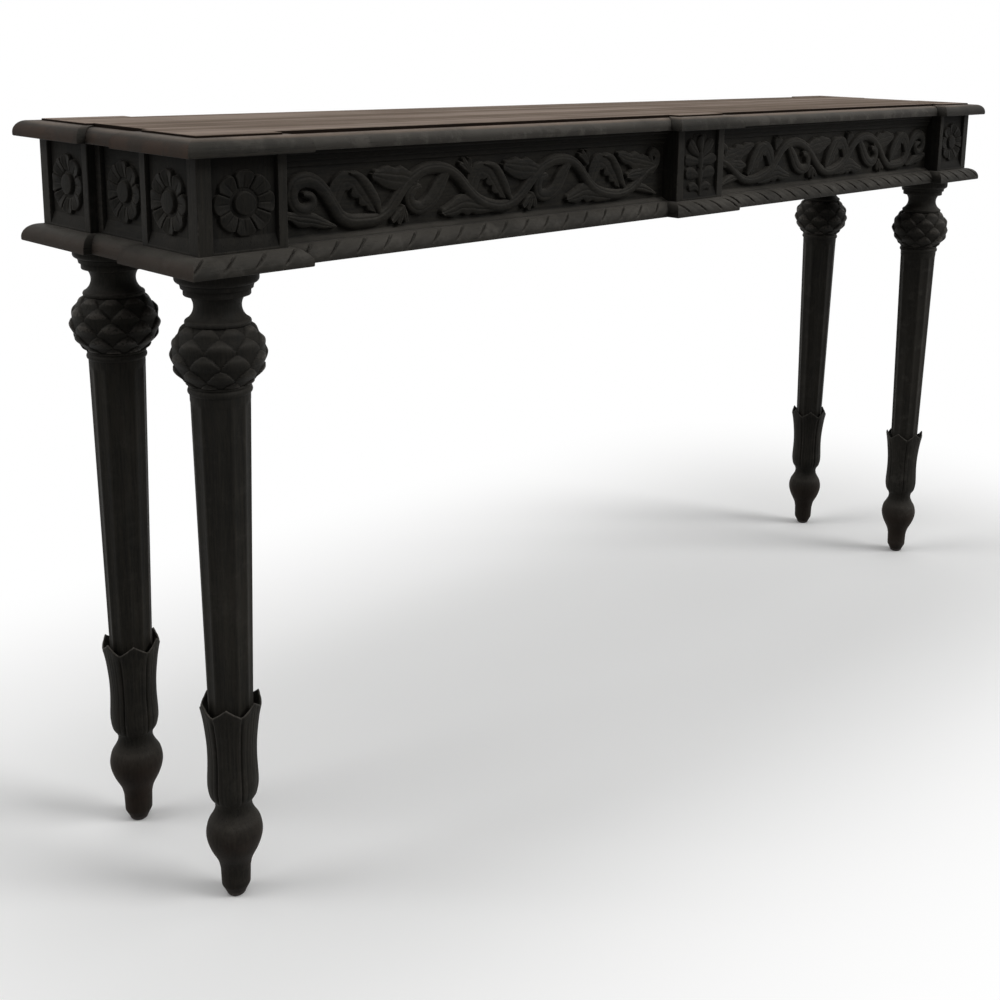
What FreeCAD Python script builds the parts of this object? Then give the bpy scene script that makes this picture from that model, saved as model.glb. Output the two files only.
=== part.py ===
import FreeCAD, Part
import math
import os

from FreeCAD import Matrix, Placement, Rotation, Vector

# A pier table: a long narrow side table with a stepped top, a carved frieze and four turned legs.
# Millimetres. The origin is on the floor under the middle of the table, +Z is up,
# X runs along the length and the carved front faces -Y.

# Main sizes
table_height = 915.0
length_over_blocks = 1704.0
depth_over_blocks = 338.0
block_width = 112.0
front_step = 19.0
end_step = 10.0
back_step = 19.0

# Top: boards inside a planted edge moulding
top_thickness = 21.0
field_proud = 2.5
field_inset = 3.0
middle_board_width = 80.0
top_overhang = 22.0
top_edge_flat = 4.0
top_edge_shoulder = 12.0

# Frame under the top
frame_height = 125.0
rope_height = 21.0
rope_overhang = 20.0
rope_edge_flat = 4.0
rope_edge_shoulder = 2.0
panel_thickness = 28.0
bearer_thickness = 22.0
back_rail_thickness = 25.0

# Sunk fields of the blocks and end panels
sunk_depth = 7.0
outer_stile = 17.5
inner_stile = 11.5
field_margin = 3.0

# Carved frieze panels
relief_depth = 9.0
ground_slope = 6.0
fillet_height = 7.0
fillet_step = 3.0
fillet_count = 3
vine_lift = 12.0
stem_width = 15.0
stem_relief = 8.0
frond_relief = 7.0
leaf_relief = 5.5
bud_relief = 6.5
bud_radius = 7.0

# Joints of the frame
tenon_length = 25.0
tenon_thickness = 10.0
tenon_shoulder = 18.0
joint_gap = 0.2
cross_bearer_width = 60.0
cross_bearer_height = 28.0
cross_bearer_spacing = 370.0
housing_depth = 8.0

# Screws that hold the top down
screw_length = 42.0
screw_radius = 2.2
screw_head_radius = 4.5
screw_head_height = 4.0
screw_setback = 35.0
bore_gap = 0.3

# Rosettes
rosette_margin = 4.5
end_rosette_margin = 8.5
rosette_edge = 2.5
rosette_crest = 6.5
rosette_dip = 3.0
rosette_button_radius = 13.5
rosette_button_gap = 1.8
rosette_button_height = 8.5
rosette_groove_width = 4.0
petal_count = 8

# Flower on the centre block
flower_height = 84.0
flower_width = 72.0
flower_stem_width = 6.0
flower_relief = 4.5
flower_petal_relief = 6.5

# Leg, from the top down
spigot_radius = 18.0
spigot_length = 60.0
collar_radius = 46.0
collar_height = 18.0
collar_ease = 5.0
cove_height = 6.0
cove_radius_at_foot = 39.5
step_radius = 36.8
step_height = 8.0
neck_height = 27.0
neck_radius = 26.2
neck_end_radius = 31.0
bead_height = 6.0
bead_radius = 36.4
bead_edge_radius = 35.0
ball_height = 66.0
ball_radius = 54.0
ball_end_radius = 37.6
ring_height = 12.0
ring_radius = 35.8
ring_edge_radius = 34.2
shaft_top_radius = 33.5
shaft_foot_radius = 25.8

# Leg, from the floor up
glide_height = 6.0
toe_chamfer_height = 9.0
toe_tip_radius = 12.5
toe_radius = 17.0
toe_height = 22.0
toe_top_radius = 17.8
foot_height = 82.0
foot_radius = 33.2
foot_neck_radius = 21.8
foot_neck_height = 6.0
cup_height = 133.0
cup_base_radius = 30.0
cup_waist_radius = 28.8
cup_flare_radius = 30.6
cup_tip_radius = 35.8
cup_tip_thickness = 2.4
cup_gap_depth = 26.0

# Carving of the legs
flute_count = 12
flute_depth = 1.6
leaf_count = 6
leaf_notch_depth = 13.0
leaf_notch_width = 32.0

# Glides nailed under the toes
glide_radius = 11.5
glide_flat_radius = 7.5
glide_rim = 1.5
glide_nail_radius = 1.5
glide_nail_length = 18.0

# Reach of every cutting body past the piece that it cuts
overrun = 1.0

# Places that follow from the sizes above
half_length = length_over_blocks / 2
half_depth = depth_over_blocks / 2
frame_top = table_height - top_thickness
frame_bottom = frame_top - frame_height
rope_top = frame_bottom + rope_height
block_inner_x = half_length - block_width
block_inner_y = half_depth - block_width
leg_x = half_length - block_width / 2
leg_y = half_depth - block_width / 2
centre_half = block_width / 2
front_face = -half_depth + front_step
bearer_front = front_face + panel_thickness
bearer_back = bearer_front + bearer_thickness
rail_back = half_depth - back_step
rail_front = rail_back - back_rail_thickness
end_face = half_length - end_step
frieze_middle = (rope_top + frame_top) / 2
field_height = frame_height - rope_height - 2 * field_margin
block_field_width = block_width - outer_stile - inner_stile
end_field_width = 2 * (block_inner_y - inner_stile)
rosette_radius = min(block_field_width, field_height) / 2 - rosette_margin
end_rosette_radius = min(end_field_width / 2 - end_rosette_margin, field_height / 2 - rosette_margin)

UP = Vector(0, 0, 1)
sides = {"left": -1, "right": 1}
rows = {"front": -1, "back": 1}


def box(corner, opposite):
    """A box between two opposite corners, given in any order."""
    low = Vector(*[min(a, b) for a, b in zip(corner, opposite)])
    size = [abs(a - b) for a, b in zip(corner, opposite)]
    return Part.makeBox(*size, low)


def drill(radius, length, place, direction):
    return Part.makeCylinder(radius, length, place, direction)


def polygon(points):
    return Part.Face(Part.makePolygon(list(points) + [points[0]]))


def arc(start, through, end):
    return Part.Arc(start, through, end).toShape()


def line(start, end):
    return Part.LineSegment(start, end).toShape()


def dome(rim, crown):
    """Arc from a rim to a crown on the Z axis, about a centre that is on that axis too."""
    rise = crown.z - rim.z
    radius = (rim.x * rim.x + rise * rise) / (2 * rise)
    half_turn = math.atan2(rim.x, radius - rise) / 2
    middle = Vector(radius * math.sin(half_turn), 0, crown.z - radius * (1 - math.cos(half_turn)))
    return arc(rim, middle, crown)


def fuse(shapes):
    first = shapes[0]
    return first.fuse(shapes[1:]).removeSplitter() if len(shapes) > 1 else first


def turned_pattern(shape, count, start):
    """Copies of a shape spaced evenly round the Z axis."""
    copies = []
    for i in range(count):
        copy = shape.copy()
        copy.rotate(Vector(0, 0, 0), UP, (i + start) * 360 / count)
        copies.append(copy)
    return copies


def wall_line():
    """Corners of the frame's wall in plan, anticlockwise from the front left one.

    Each corner comes with the name of the mitred set of moulding that covers the stretch after it.
    """
    x, y, w = half_length, half_depth, block_width
    return [
        (-x, -y, "front_left_corner"), (-x + w, -y, "front_left_corner"),
        (-x + w, front_face, "front_left_run"),
        (-centre_half, front_face, "centre"), (-centre_half, -y, "centre"), (centre_half, -y, "centre"),
        (centre_half, front_face, "front_right_run"),
        (x - w, front_face, "front_right_corner"), (x - w, -y, "front_right_corner"),
        (x, -y, "front_right_corner"), (x, -y + w, "front_right_corner"),
        (end_face, -y + w, "right_end_run"),
        (end_face, y - w, "back_right_corner"), (x, y - w, "back_right_corner"),
        (x, y, "back_right_corner"), (x - w, y, "back_right_corner"),
        (x - w, rail_back, "back_run"),
        (-x + w, rail_back, "back_left_corner"), (-x + w, y, "back_left_corner"),
        (-x, y, "back_left_corner"), (-x, y - w, "back_left_corner"),
        (-end_face, y - w, "left_end_run"),
        (-end_face, -y + w, "front_left_corner"), (-x, -y + w, "front_left_corner"),
    ]


def wall_corners():
    return [Vector(x, y, 0) for x, y, name in wall_line()]


def outward(start, end):
    """Unit normal of a stretch of the wall line, pointing out of the table."""
    along = (end - start).normalize()
    return Vector(along.y, -along.x, 0)


def mitre(path, index):
    """Plan vector that carries a corner of the wall line outwards by one unit."""
    before = outward(path[index - 1], path[index])
    after = outward(path[index], path[(index + 1) % len(path)])
    return (before + after) * (1 / (1 + before.dot(after)))


def offset_plan(path, distance):
    return [corner + mitre(path, i) * distance for i, corner in enumerate(path)]


def thumb_outline(inner, outer, low, high, flat, shoulder):
    """Thumb moulding seen end on: X is the distance out of the wall, Z the height."""
    foot = Vector(outer, 0, low + flat)
    top = Vector(inner + shoulder, 0, high)
    bow = math.sqrt(0.5)
    middle = Vector(top.x + (foot.x - top.x) * bow, 0, foot.z + (top.z - foot.z) * bow)
    corners = [Vector(inner, 0, high), Vector(inner, 0, low), Vector(outer, 0, low), foot]
    edges = [line(a, b) for a, b in zip(corners, corners[1:])]
    edges.append(arc(foot, middle, top))
    edges.append(line(top, corners[0]))
    return Part.Face(Part.Wire(edges))


def strip(path, index, outline):
    """One straight length of moulding along the wall line, mitred at both ends."""
    start, end = path[index], path[(index + 1) % len(path)]
    out = outward(start, end)
    along = (end - start).normalize()
    bounds = outline.BoundBox
    reach = bounds.XMax + overrun
    turned = outline.copy()
    frame = Matrix(out.x, -along.x, 0, start.x, out.y, -along.y, 0, start.y, 0, 0, 1, 0, 0, 0, 0, 1)
    turned.transformShape(frame)
    turned.translate(along * -reach)
    bar = turned.extrude(along * (start.distanceToPoint(end) + 2 * reach))
    first, last = mitre(path, index), mitre(path, (index + 1) % len(path))
    near, far = bounds.XMin, bounds.XMax
    plan = polygon([start + first * near, end + last * near, end + last * far, start + first * far])
    plan.translate(UP * (bounds.ZMin - overrun))
    return bar.common(plan.extrude(UP * (bounds.ZLength + 2 * overrun))).Solids[0]


def mouldings(name, outline):
    """The mitred sets of a moulding that runs round the whole table."""
    path = wall_corners()
    sets = {}
    for index, (x, y, place) in enumerate(wall_line()):
        sets.setdefault(name + "_" + place, []).append(strip(path, index, outline))
    return {node: fuse(strips) for node, strips in sets.items()}


# Top
def screw_places():
    """Plan places of the screws: one into each board through every cross bearer."""
    rows_y = (-middle_board_width / 2 - screw_setback, 0, middle_board_width / 2 + screw_setback)
    return [(x, y) for x in (-cross_bearer_spacing, 0, cross_bearer_spacing) for y in rows_y]


def screw(x, y, gap):
    """A countersunk screw from below, or the hole for it when it has a gap."""
    head = frame_top - cross_bearer_height
    neck = head + screw_head_height
    cone = Part.makeCone(screw_head_radius + gap, screw_radius + gap, screw_head_height, Vector(x, y, head))
    shank = drill(screw_radius + gap, screw_length - screw_head_height + gap, Vector(x, y, neck), UP)
    return cone.fuse(shank).removeSplitter()


def top_boards():
    plan = polygon(offset_plan(wall_corners(), -field_inset))
    field = plan.extrude(UP * top_thickness)
    field.translate(UP * frame_top)
    holes = [screw(x, y, bore_gap) for x, y in screw_places()]
    reach_x, reach_y = half_length, half_depth
    joint = middle_board_width / 2
    bands = {"front": (-reach_y, -joint), "middle": (-joint, joint), "back": (joint, reach_y)}
    boards = {}
    for place, (near, far) in bands.items():
        band = box((-reach_x, near, frame_top), (reach_x, far, table_height))
        boards["top_board_" + place] = field.common(band).cut(holes).Solids[0]
    return boards


# Frame
def tenon(length_from, length_to, across, along_x, gap):
    """A tenon, or its mortise when it has a gap, from one place to another along X or Y."""
    half = tenon_thickness / 2 + gap
    low = frame_bottom + tenon_shoulder - gap
    high = frame_top - tenon_shoulder + gap
    if along_x:
        return box((length_from, across - half, low), (length_to, across + half, high))
    return box((across - half, length_from, low), (across + half, length_to, high))


bearer_middle = (bearer_front + bearer_back) / 2
rail_middle = (rail_front + rail_back) / 2
end_middle = end_face - panel_thickness / 2


def sunk_field(side, row, on_end):
    """Shallow recess in an outer face of a corner block."""
    low, high = rope_top + field_margin, frame_top - field_margin
    if on_end:
        near = row * (half_depth - outer_stile)
        far = row * (block_inner_y + inner_stile)
        outer = side * (half_length + overrun)
        floor = side * (half_length - sunk_depth)
        return box((floor, near, low), (outer, far, high))
    near = side * (half_length - outer_stile)
    far = side * (block_inner_x + inner_stile)
    return box((near, -half_depth - overrun, low), (far, -half_depth + sunk_depth, high))


def corner_block(side, row):
    """A square block with sunk fields, the leg's bore and mortises for two rails."""
    body = box((side * block_inner_x, row * block_inner_y, frame_bottom),
               (side * half_length, row * half_depth, frame_top))
    bore = drill(spigot_radius + bore_gap, spigot_length + bore_gap,
                 Vector(side * leg_x, row * leg_y, frame_bottom), UP)
    rail = bearer_middle if row < 0 else rail_middle
    deep = tenon_length + joint_gap
    rail_mortise = tenon(side * block_inner_x, side * (block_inner_x + deep), rail, True, joint_gap)
    end_mortise = tenon(row * block_inner_y, row * (block_inner_y + deep), side * end_middle, False,
                        joint_gap)
    cuts = [bore, rail_mortise, end_mortise, sunk_field(side, row, True)]
    if row < 0:
        cuts.append(sunk_field(side, row, False))
    return body.cut(cuts)


def centre_block():
    body = box((-centre_half, -half_depth, frame_bottom), (centre_half, bearer_front, frame_top))
    stile = (outer_stile + inner_stile) / 2
    field = box((-centre_half + stile, -half_depth - overrun, rope_top + field_margin),
                (centre_half - stile, -half_depth + sunk_depth, frame_top - field_margin))
    return body.cut(field)


def cross_bearer(x, gap):
    """A flat bearer under the top, or the housings for it when it has a gap."""
    half = cross_bearer_width / 2 + gap
    low = frame_top - cross_bearer_height - gap
    near = bearer_back - housing_depth - gap
    far = rail_front + housing_depth + gap
    return box((x - half, near, low), (x + half, far, frame_top + gap))


bearer_places = {"left": -cross_bearer_spacing, "centre": 0, "right": cross_bearer_spacing}


def long_rail(near, far, across):
    """A rail between two corner blocks, tenoned at its ends and housed for the cross bearers."""
    body = box((-block_inner_x, near, frame_bottom), (block_inner_x, far, frame_top))
    tenons = [tenon(s * block_inner_x, s * (block_inner_x + tenon_length), across, True, 0)
              for s in sides.values()]
    housings = [cross_bearer(x, joint_gap) for x in bearer_places.values()]
    return body.fuse(tenons).cut(housings).removeSplitter()


def end_panel(side):
    """The short panel between two blocks, with a sunk field on its outer face."""
    inner = side * (end_face - panel_thickness)
    body = box((inner, -block_inner_y, frame_bottom), (side * end_face, block_inner_y, frame_top))
    tenons = [tenon(r * block_inner_y, r * (block_inner_y + tenon_length), side * end_middle, False, 0)
              for r in rows.values()]
    half = end_field_width / 2
    field = box((side * (end_face - sunk_depth), -half, rope_top + field_margin),
                (side * (end_face + overrun), half, frame_top - field_margin))
    return body.fuse(tenons).cut(field).removeSplitter()


# Carved frieze panels
panel_length = block_inner_x - centre_half
vine_low = rope_top + vine_lift
vine_height = frame_top - fillet_count * fillet_height - vine_low - fillet_step

# Waves of the stem: shares of the panel's length and of the vine's height
stem_cross_shares = (0.105, 0.264, 0.424, 0.587, 0.752, 0.920)
stem_middle_share = 0.49
stem_swing_share = 0.46
scroll_shares = ((0.105, 0.49), (0.058, 0.87), (0.040, 0.30))
scroll_eye_share = (0.062, 0.50)

# Crescents: start, outer bow, end and inner bow, as shares of length and height
frond_shares = (
    ((0.122, 0.38), (0.158, 1.00), (0.215, 0.16), (0.160, 0.56)),
    ((0.355, 0.80), (0.298, 0.08), (0.292, 0.60), (0.316, 0.34)),
    ((0.430, 0.40), (0.470, 1.00), (0.525, 0.16), (0.470, 0.56)),
    ((0.690, 0.80), (0.632, 0.08), (0.622, 0.60), (0.648, 0.34)),
    ((0.768, 0.42), (0.805, 0.98), (0.865, 0.20), (0.808, 0.56)),
)
leaf_shares = (
    ((0.115, 0.12), (0.060, 0.28), (0.020, 0.26), (0.065, 0.05)),
    ((0.285, 0.62), (0.235, 1.02), (0.196, 0.80), (0.240, 0.56)),
    ((0.425, 0.30), (0.385, 0.36), (0.350, 0.08), (0.400, 0.00)),
    ((0.622, 0.62), (0.565, 1.04), (0.504, 0.86), (0.560, 0.52)),
    ((0.765, 0.26), (0.725, 0.36), (0.690, 0.06), (0.735, -0.02)),
    ((0.905, 0.40), (0.880, 0.74), (0.840, 0.92), (0.860, 0.56)),
    ((0.912, 0.42), (0.935, 0.94), (0.985, 0.80), (0.955, 0.46)),
    ((0.890, 0.20), (0.930, 0.22), (0.962, 0.04), (0.925, 0.06)),
)
bud_shares = ((0.262, 0.02), (0.416, 0.94), (0.585, 0.02), (0.748, 0.94))


def vine_point(shares, side):
    """A point of the carving on the ground of the left or right panel."""
    along, up = shares
    x = side * (block_inner_x - along * panel_length)
    return Vector(x, front_face + relief_depth, vine_low + up * vine_height)


def raised(face, relief):
    """A flat outline raised from the ground, let into it a little so that the two join."""
    body = face.extrude(Vector(0, -relief - overrun, 0))
    body.translate(Vector(0, overrun, 0))
    return body


def crescent(shares, side, relief):
    start, outer, end, inner = [vine_point(s, side) for s in shares]
    return raised(Part.Face(Part.Wire([arc(start, outer, end), arc(end, inner, start)])), relief)


def band(start, through, end, width, relief):
    """A circular stretch of stem of even width through three points."""
    centre = Part.Circle(start, through, end).Center
    spokes = [(point - centre) for point in (start, through, end)]
    wide, narrow = [
        [centre + spoke * ((spoke.Length + shift) / spoke.Length) for spoke in spokes]
        for shift in (width / 2, -width / 2)
    ]
    edges = [arc(*wide), line(wide[2], narrow[2]), arc(*reversed(narrow)), line(narrow[0], wide[0])]
    return raised(Part.Face(Part.Wire(edges)), relief)


def vine(side):
    """Stem, hooked fronds, leaves and buds of one panel."""
    pieces = []
    crossings = list(zip(stem_cross_shares, stem_cross_shares[1:]))
    for turn, (here, there) in enumerate(crossings):
        swing = stem_swing_share * (1 if turn % 2 else -1)
        places = ((here, stem_middle_share), ((here + there) / 2, stem_middle_share + swing),
                  (there, stem_middle_share))
        pieces.append(band(*[vine_point(p, side) for p in places], stem_width, stem_relief))
    pieces.append(band(*[vine_point(p, side) for p in scroll_shares], stem_width, stem_relief))
    pieces += [crescent(shares, side, frond_relief) for shares in frond_shares]
    pieces += [crescent(shares, side, leaf_relief) for shares in leaf_shares]
    buds = [(share, bud_radius) for share in bud_shares] + [(scroll_eye_share, bud_radius)]
    for share, radius in buds:
        place = vine_point(share, side) + Vector(0, overrun, 0)
        pieces.append(drill(radius, bud_relief + overrun, place, Vector(0, -1, 0)))
    return pieces


def frieze_panel(side):
    """A carved board between a corner block and the centre block."""
    ground = front_face + relief_depth
    section = [(bearer_front, frame_bottom), (front_face, frame_bottom), (front_face, rope_top),
               (ground, rope_top + ground_slope)]
    for step in range(fillet_count):
        depth = front_face + fillet_step * (fillet_count - 1 - step)
        level = frame_top - fillet_height * (fillet_count - step)
        section += [(section[-1][0], level), (depth, level)]
    section += [(front_face, frame_top), (bearer_front, frame_top)]
    start, end = side * block_inner_x, side * centre_half
    face = polygon([Vector(start, y, z) for y, z in section])
    board = face.extrude(Vector(end - start, 0, 0))
    return board.fuse(vine(side)).removeSplitter()


# Rosettes and the centre flower, made flat with the face up and then hung on their block
def hung(shape, place, facing):
    turned = shape.copy()
    turned.Placement = Placement(place, facing)
    return turned


facing_front = Rotation(Vector(1, 0, 0), 90)
facing_end = {"left": Rotation(Vector(0, 0, 1), -90).multiply(facing_front),
              "right": Rotation(Vector(0, 0, 1), 90).multiply(facing_front)}

# Places on the rosette's petals, from root to rim, as shares of their length
petal_crest_share = 0.47
petal_valley_share = 0.72


def rosette():
    """A flower of broad hollow petals round a domed button."""
    root = rosette_button_radius + rosette_button_gap
    crest = root + petal_crest_share * (rosette_radius - root)
    dip = Vector(root, 0, rosette_dip)
    button = Vector(rosette_button_radius, 0, rosette_dip)
    crown = Vector(0, 0, rosette_button_height)
    corners = [crown, Vector(0, 0, 0), Vector(rosette_radius, 0, 0),
               Vector(rosette_radius, 0, rosette_edge), Vector(crest, 0, rosette_crest), dip, button]
    edges = [line(a, b) for a, b in zip(corners, corners[1:])] + [dome(button, crown)]
    body = Part.Face(Part.Wire(edges)).revolve(Vector(0, 0, 0), UP, 360)

    def around(radius, turn):
        angle = turn * 2 * math.pi / petal_count
        return Vector(radius * math.cos(angle), radius * math.sin(angle), -overrun)

    valley = root + petal_valley_share * (rosette_radius - root)
    rim = [arc(around(valley, i - 0.5), around(rosette_radius, i), around(valley, i + 0.5))
           for i in range(petal_count)]
    lobes = Part.Face(Part.Wire(rim)).extrude(UP * (rosette_button_height + 2 * overrun))
    half = rosette_groove_width / 2
    high = rosette_crest + overrun
    groove = polygon([Vector(root, 0, rosette_edge), Vector(root, -half, high), Vector(root, half, high)])
    cutter = groove.extrude(Vector(rosette_radius, 0, 0))
    return body.common(lobes).cut(turned_pattern(cutter, petal_count, 0.5)).Solids[0]


# Leaves and petals of the centre flower: base, tip and the bows of both edges,
# as shares of the flower's width and height from its middle
flower_leaf_shares = (
    ((0.00, -0.46), (0.44, -0.06), (0.20, -0.38), (0.30, -0.14)),
    ((0.02, -0.20), (0.44, 0.26), (0.32, -0.06), (0.16, 0.10)),
)
flower_petal_shares = (
    ((0.00, -0.02), (0.30, 0.42), (0.26, 0.14), (0.12, 0.26)),
)
flower_crown_shares = ((0.00, -0.04), (0.12, 0.28), (0.00, 0.48), (-0.12, 0.28))


def centre_flower():
    """A stylised flower on a stem with two pairs of leaves, alike on both sides."""
    def point(shares, side):
        return Vector(side * shares[0] * flower_width, shares[1] * flower_height, 0)

    def blade(shares, side, relief):
        base, tip, outer, inner = [point(s, side) for s in shares]
        face = Part.Face(Part.Wire([arc(base, outer, tip), arc(tip, inner, base)]))
        return face.extrude(UP * relief)

    half = flower_stem_width / 2
    foot = -flower_height / 2
    pieces = [box((-half, foot, 0), (half, 0, flower_relief))]
    for side in sides.values():
        pieces += [blade(shares, side, flower_relief) for shares in flower_leaf_shares]
        pieces += [blade(shares, side, flower_petal_relief) for shares in flower_petal_shares]
    base, right, tip, left = [point(s, 1) for s in flower_crown_shares]
    crown = Part.Face(Part.Wire([arc(base, right, tip), arc(tip, left, base)]))
    pieces.append(crown.extrude(UP * (flower_petal_relief + overrun)))
    return fuse(pieces)


def ornaments():
    """Rosettes on the front and end faces and the flower on the centre block."""
    nodes = {}
    flower_place = Vector(0, -half_depth + sunk_depth, frieze_middle)
    nodes["centre_flower"] = hung(centre_flower(), flower_place, facing_front)
    shift = (outer_stile - inner_stile) / 2
    for name, side in sides.items():
        x = side * (leg_x - shift)
        place = Vector(x, -half_depth + sunk_depth, frieze_middle)
        nodes["rosette_front_" + name] = hung(rosette(), place, facing_front)
        for row_name, row in rows.items():
            place = Vector(side * (half_length - sunk_depth), row * (leg_y - shift), frieze_middle)
            nodes["rosette_%s_end_%s" % (name, row_name)] = hung(rosette(), place, facing_end[name])
        place = Vector(side * (end_face - sunk_depth), 0, frieze_middle)
        fitted = rosette().scaled(end_rosette_radius / rosette_radius)
        nodes["rosette_%s_end_middle" % name] = hung(fitted, place, facing_end[name])
    return nodes


# Legs
toe_level = glide_height
toe_shoulder_level = toe_level + toe_chamfer_height
foot_level = toe_shoulder_level + toe_height
foot_neck_level = foot_level + foot_height
cup_level = foot_neck_level + foot_neck_height
cup_top_level = cup_level + cup_height
collar_level = frame_bottom - collar_height
step_top_level = collar_level - cove_height
neck_top_level = step_top_level - step_height
bead_top_level = neck_top_level - neck_height
ball_top_level = bead_top_level - bead_height
ring_top_level = ball_top_level - ball_height
shaft_top_level = ring_top_level - ring_height

# Heights and swellings along the foot and the cup, as shares of their own sizes
foot_curve_shares = ((0.14, 0.18), (0.33, 0.68), (0.62, 1.00), (0.84, 0.62))
cup_belly_share = 0.21
cup_waist_share = 0.43
cup_flare_share = 0.68
cove_bow_share = 0.33
shaft_level = cup_top_level - cup_gap_depth


class Outline:
    """Half of a turned outline in the XZ plane, drawn upwards from the axis."""

    def __init__(self, level):
        self.pen = Vector(0, 0, level)
        self.edges = []

    def straight(self, *places):
        for radius, level in places:
            end = Vector(radius, 0, level)
            self.edges.append(line(self.pen, end))
            self.pen = end

    def bow(self, through, end):
        through, end = Vector(through[0], 0, through[1]), Vector(end[0], 0, end[1])
        self.edges.append(arc(self.pen, through, end))
        self.pen = end

    def flow(self, places):
        points = [self.pen] + [Vector(radius, 0, level) for radius, level in places]
        curve = Part.BSplineCurve()
        curve.interpolate(points)
        self.edges.append(curve.toShape())
        self.pen = points[-1]

    def bead(self, radius, edge_radius, low, high):
        """A step out to an edge radius and a round bulge or hollow up to the next level."""
        self.straight((edge_radius, low))
        self.bow((radius, (low + high) / 2), (edge_radius, high))

    def turned(self):
        first = self.edges[0].Vertexes[0].Point
        self.straight((0, self.pen.z), (first.x, first.z))
        return Part.Face(Part.Wire(self.edges)).revolve(Vector(0, 0, 0), UP, 360)


def leg_foot():
    """Toe, turnip foot and leaf cup, with the gap between the leaf tips and the shaft."""
    outline = Outline(toe_level)
    outline.straight((toe_tip_radius, toe_level), (toe_radius, toe_shoulder_level),
                     (toe_top_radius, foot_level))
    swell = foot_radius - toe_top_radius
    outline.flow([(toe_top_radius + s * swell, foot_level + h * foot_height) for h, s in foot_curve_shares]
                 + [(foot_neck_radius, foot_neck_level)])
    outline.straight((foot_neck_radius, cup_level))
    belly_level = cup_level + cup_belly_share * cup_height
    turn = math.sqrt(0.5)
    outline.bow((foot_neck_radius + (cup_base_radius - foot_neck_radius) * turn,
                 belly_level - (belly_level - cup_level) * turn), (cup_base_radius, belly_level))
    outline.bow((cup_waist_radius, cup_level + cup_waist_share * cup_height),
                (cup_flare_radius, cup_level + cup_flare_share * cup_height))
    outline.straight((cup_tip_radius, cup_top_level - cup_tip_thickness),
                     (cup_tip_radius - cup_tip_thickness, cup_top_level), (shaft_foot_radius, shaft_level))
    return outline.turned()


def leg_head():
    """Ring, ball, bead, neck, collar and spigot above the shaft."""
    outline = Outline(shaft_top_level)
    outline.bead(ring_radius, ring_edge_radius, shaft_top_level, ring_top_level)
    outline.bead(ball_radius, ball_end_radius, ring_top_level, ball_top_level)
    outline.bead(bead_radius, bead_edge_radius, ball_top_level, bead_top_level)
    outline.bead(neck_radius, neck_end_radius, bead_top_level, neck_top_level)
    outline.straight((step_radius, neck_top_level), (step_radius, step_top_level),
                     (cove_radius_at_foot, step_top_level))
    lip = collar_radius - collar_ease
    outline.bow((cove_radius_at_foot + (lip - cove_radius_at_foot) * cove_bow_share,
                 (step_top_level + collar_level) / 2), (lip, collar_level))
    turn = math.sqrt(0.5)
    outline.bow((lip + collar_ease * turn, collar_level + collar_ease * (1 - turn)),
                (collar_radius, collar_level + collar_ease))
    outline.straight((collar_radius, frame_bottom), (spigot_radius, frame_bottom),
                     (spigot_radius, frame_bottom + spigot_length))
    return outline.turned()


def fluted_section(radius, level):
    """Outline of the shaft at one level: hollow flutes that meet in sharp edges."""
    def around(reach, turn):
        angle = turn * 2 * math.pi / flute_count
        return Vector(reach * math.cos(angle), reach * math.sin(angle), level)

    return Part.Wire([arc(around(radius, i - 0.5), around(radius - flute_depth, i), around(radius, i + 0.5))
                      for i in range(flute_count)])


def leg_shaft():
    low = fluted_section(shaft_foot_radius, shaft_level)
    high = fluted_section(shaft_top_radius, shaft_top_level)
    return Part.makeLoft([low, high], True, True)


def leaf_notch():
    """Gap between two leaf tips of the cup, cut down to the shaft but not into it."""
    inner = shaft_foot_radius + cup_tip_thickness / 2
    half = leaf_notch_width / 2
    high = cup_top_level + overrun
    face = polygon([Vector(inner, 0, cup_top_level - leaf_notch_depth), Vector(inner, -half, high),
                    Vector(inner, half, high)])
    return face.extrude(Vector(cup_tip_radius, 0, 0))


def leg():
    nail_hole = drill(glide_nail_radius + bore_gap, glide_nail_length + bore_gap,
                      Vector(0, 0, toe_level), UP)
    foot = leg_foot().cut(turned_pattern(leaf_notch(), leaf_count, 0.5) + [nail_hole])
    return foot.fuse([leg_shaft(), leg_head()]).Solids[0]


def glide():
    """A domed glide with its nail."""
    turn = math.sqrt(0.5)
    rise = glide_height - glide_rim
    rim = Vector(glide_radius, 0, rise)
    flat = Vector(glide_flat_radius, 0, 0)
    round_x = glide_flat_radius + (glide_radius - glide_flat_radius) * turn
    round_place = Vector(round_x, 0, rise * (1 - turn))
    corners = [rim, Vector(glide_radius, 0, glide_height), Vector(glide_nail_radius, 0, glide_height),
               Vector(glide_nail_radius, 0, glide_height + glide_nail_length),
               Vector(0, 0, glide_height + glide_nail_length), Vector(0, 0, 0), flat]
    edges = [line(a, b) for a, b in zip(corners, corners[1:])]
    edges.append(arc(flat, round_place, rim))
    return Part.Face(Part.Wire(edges)).revolve(Vector(0, 0, 0), UP, 360)


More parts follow.
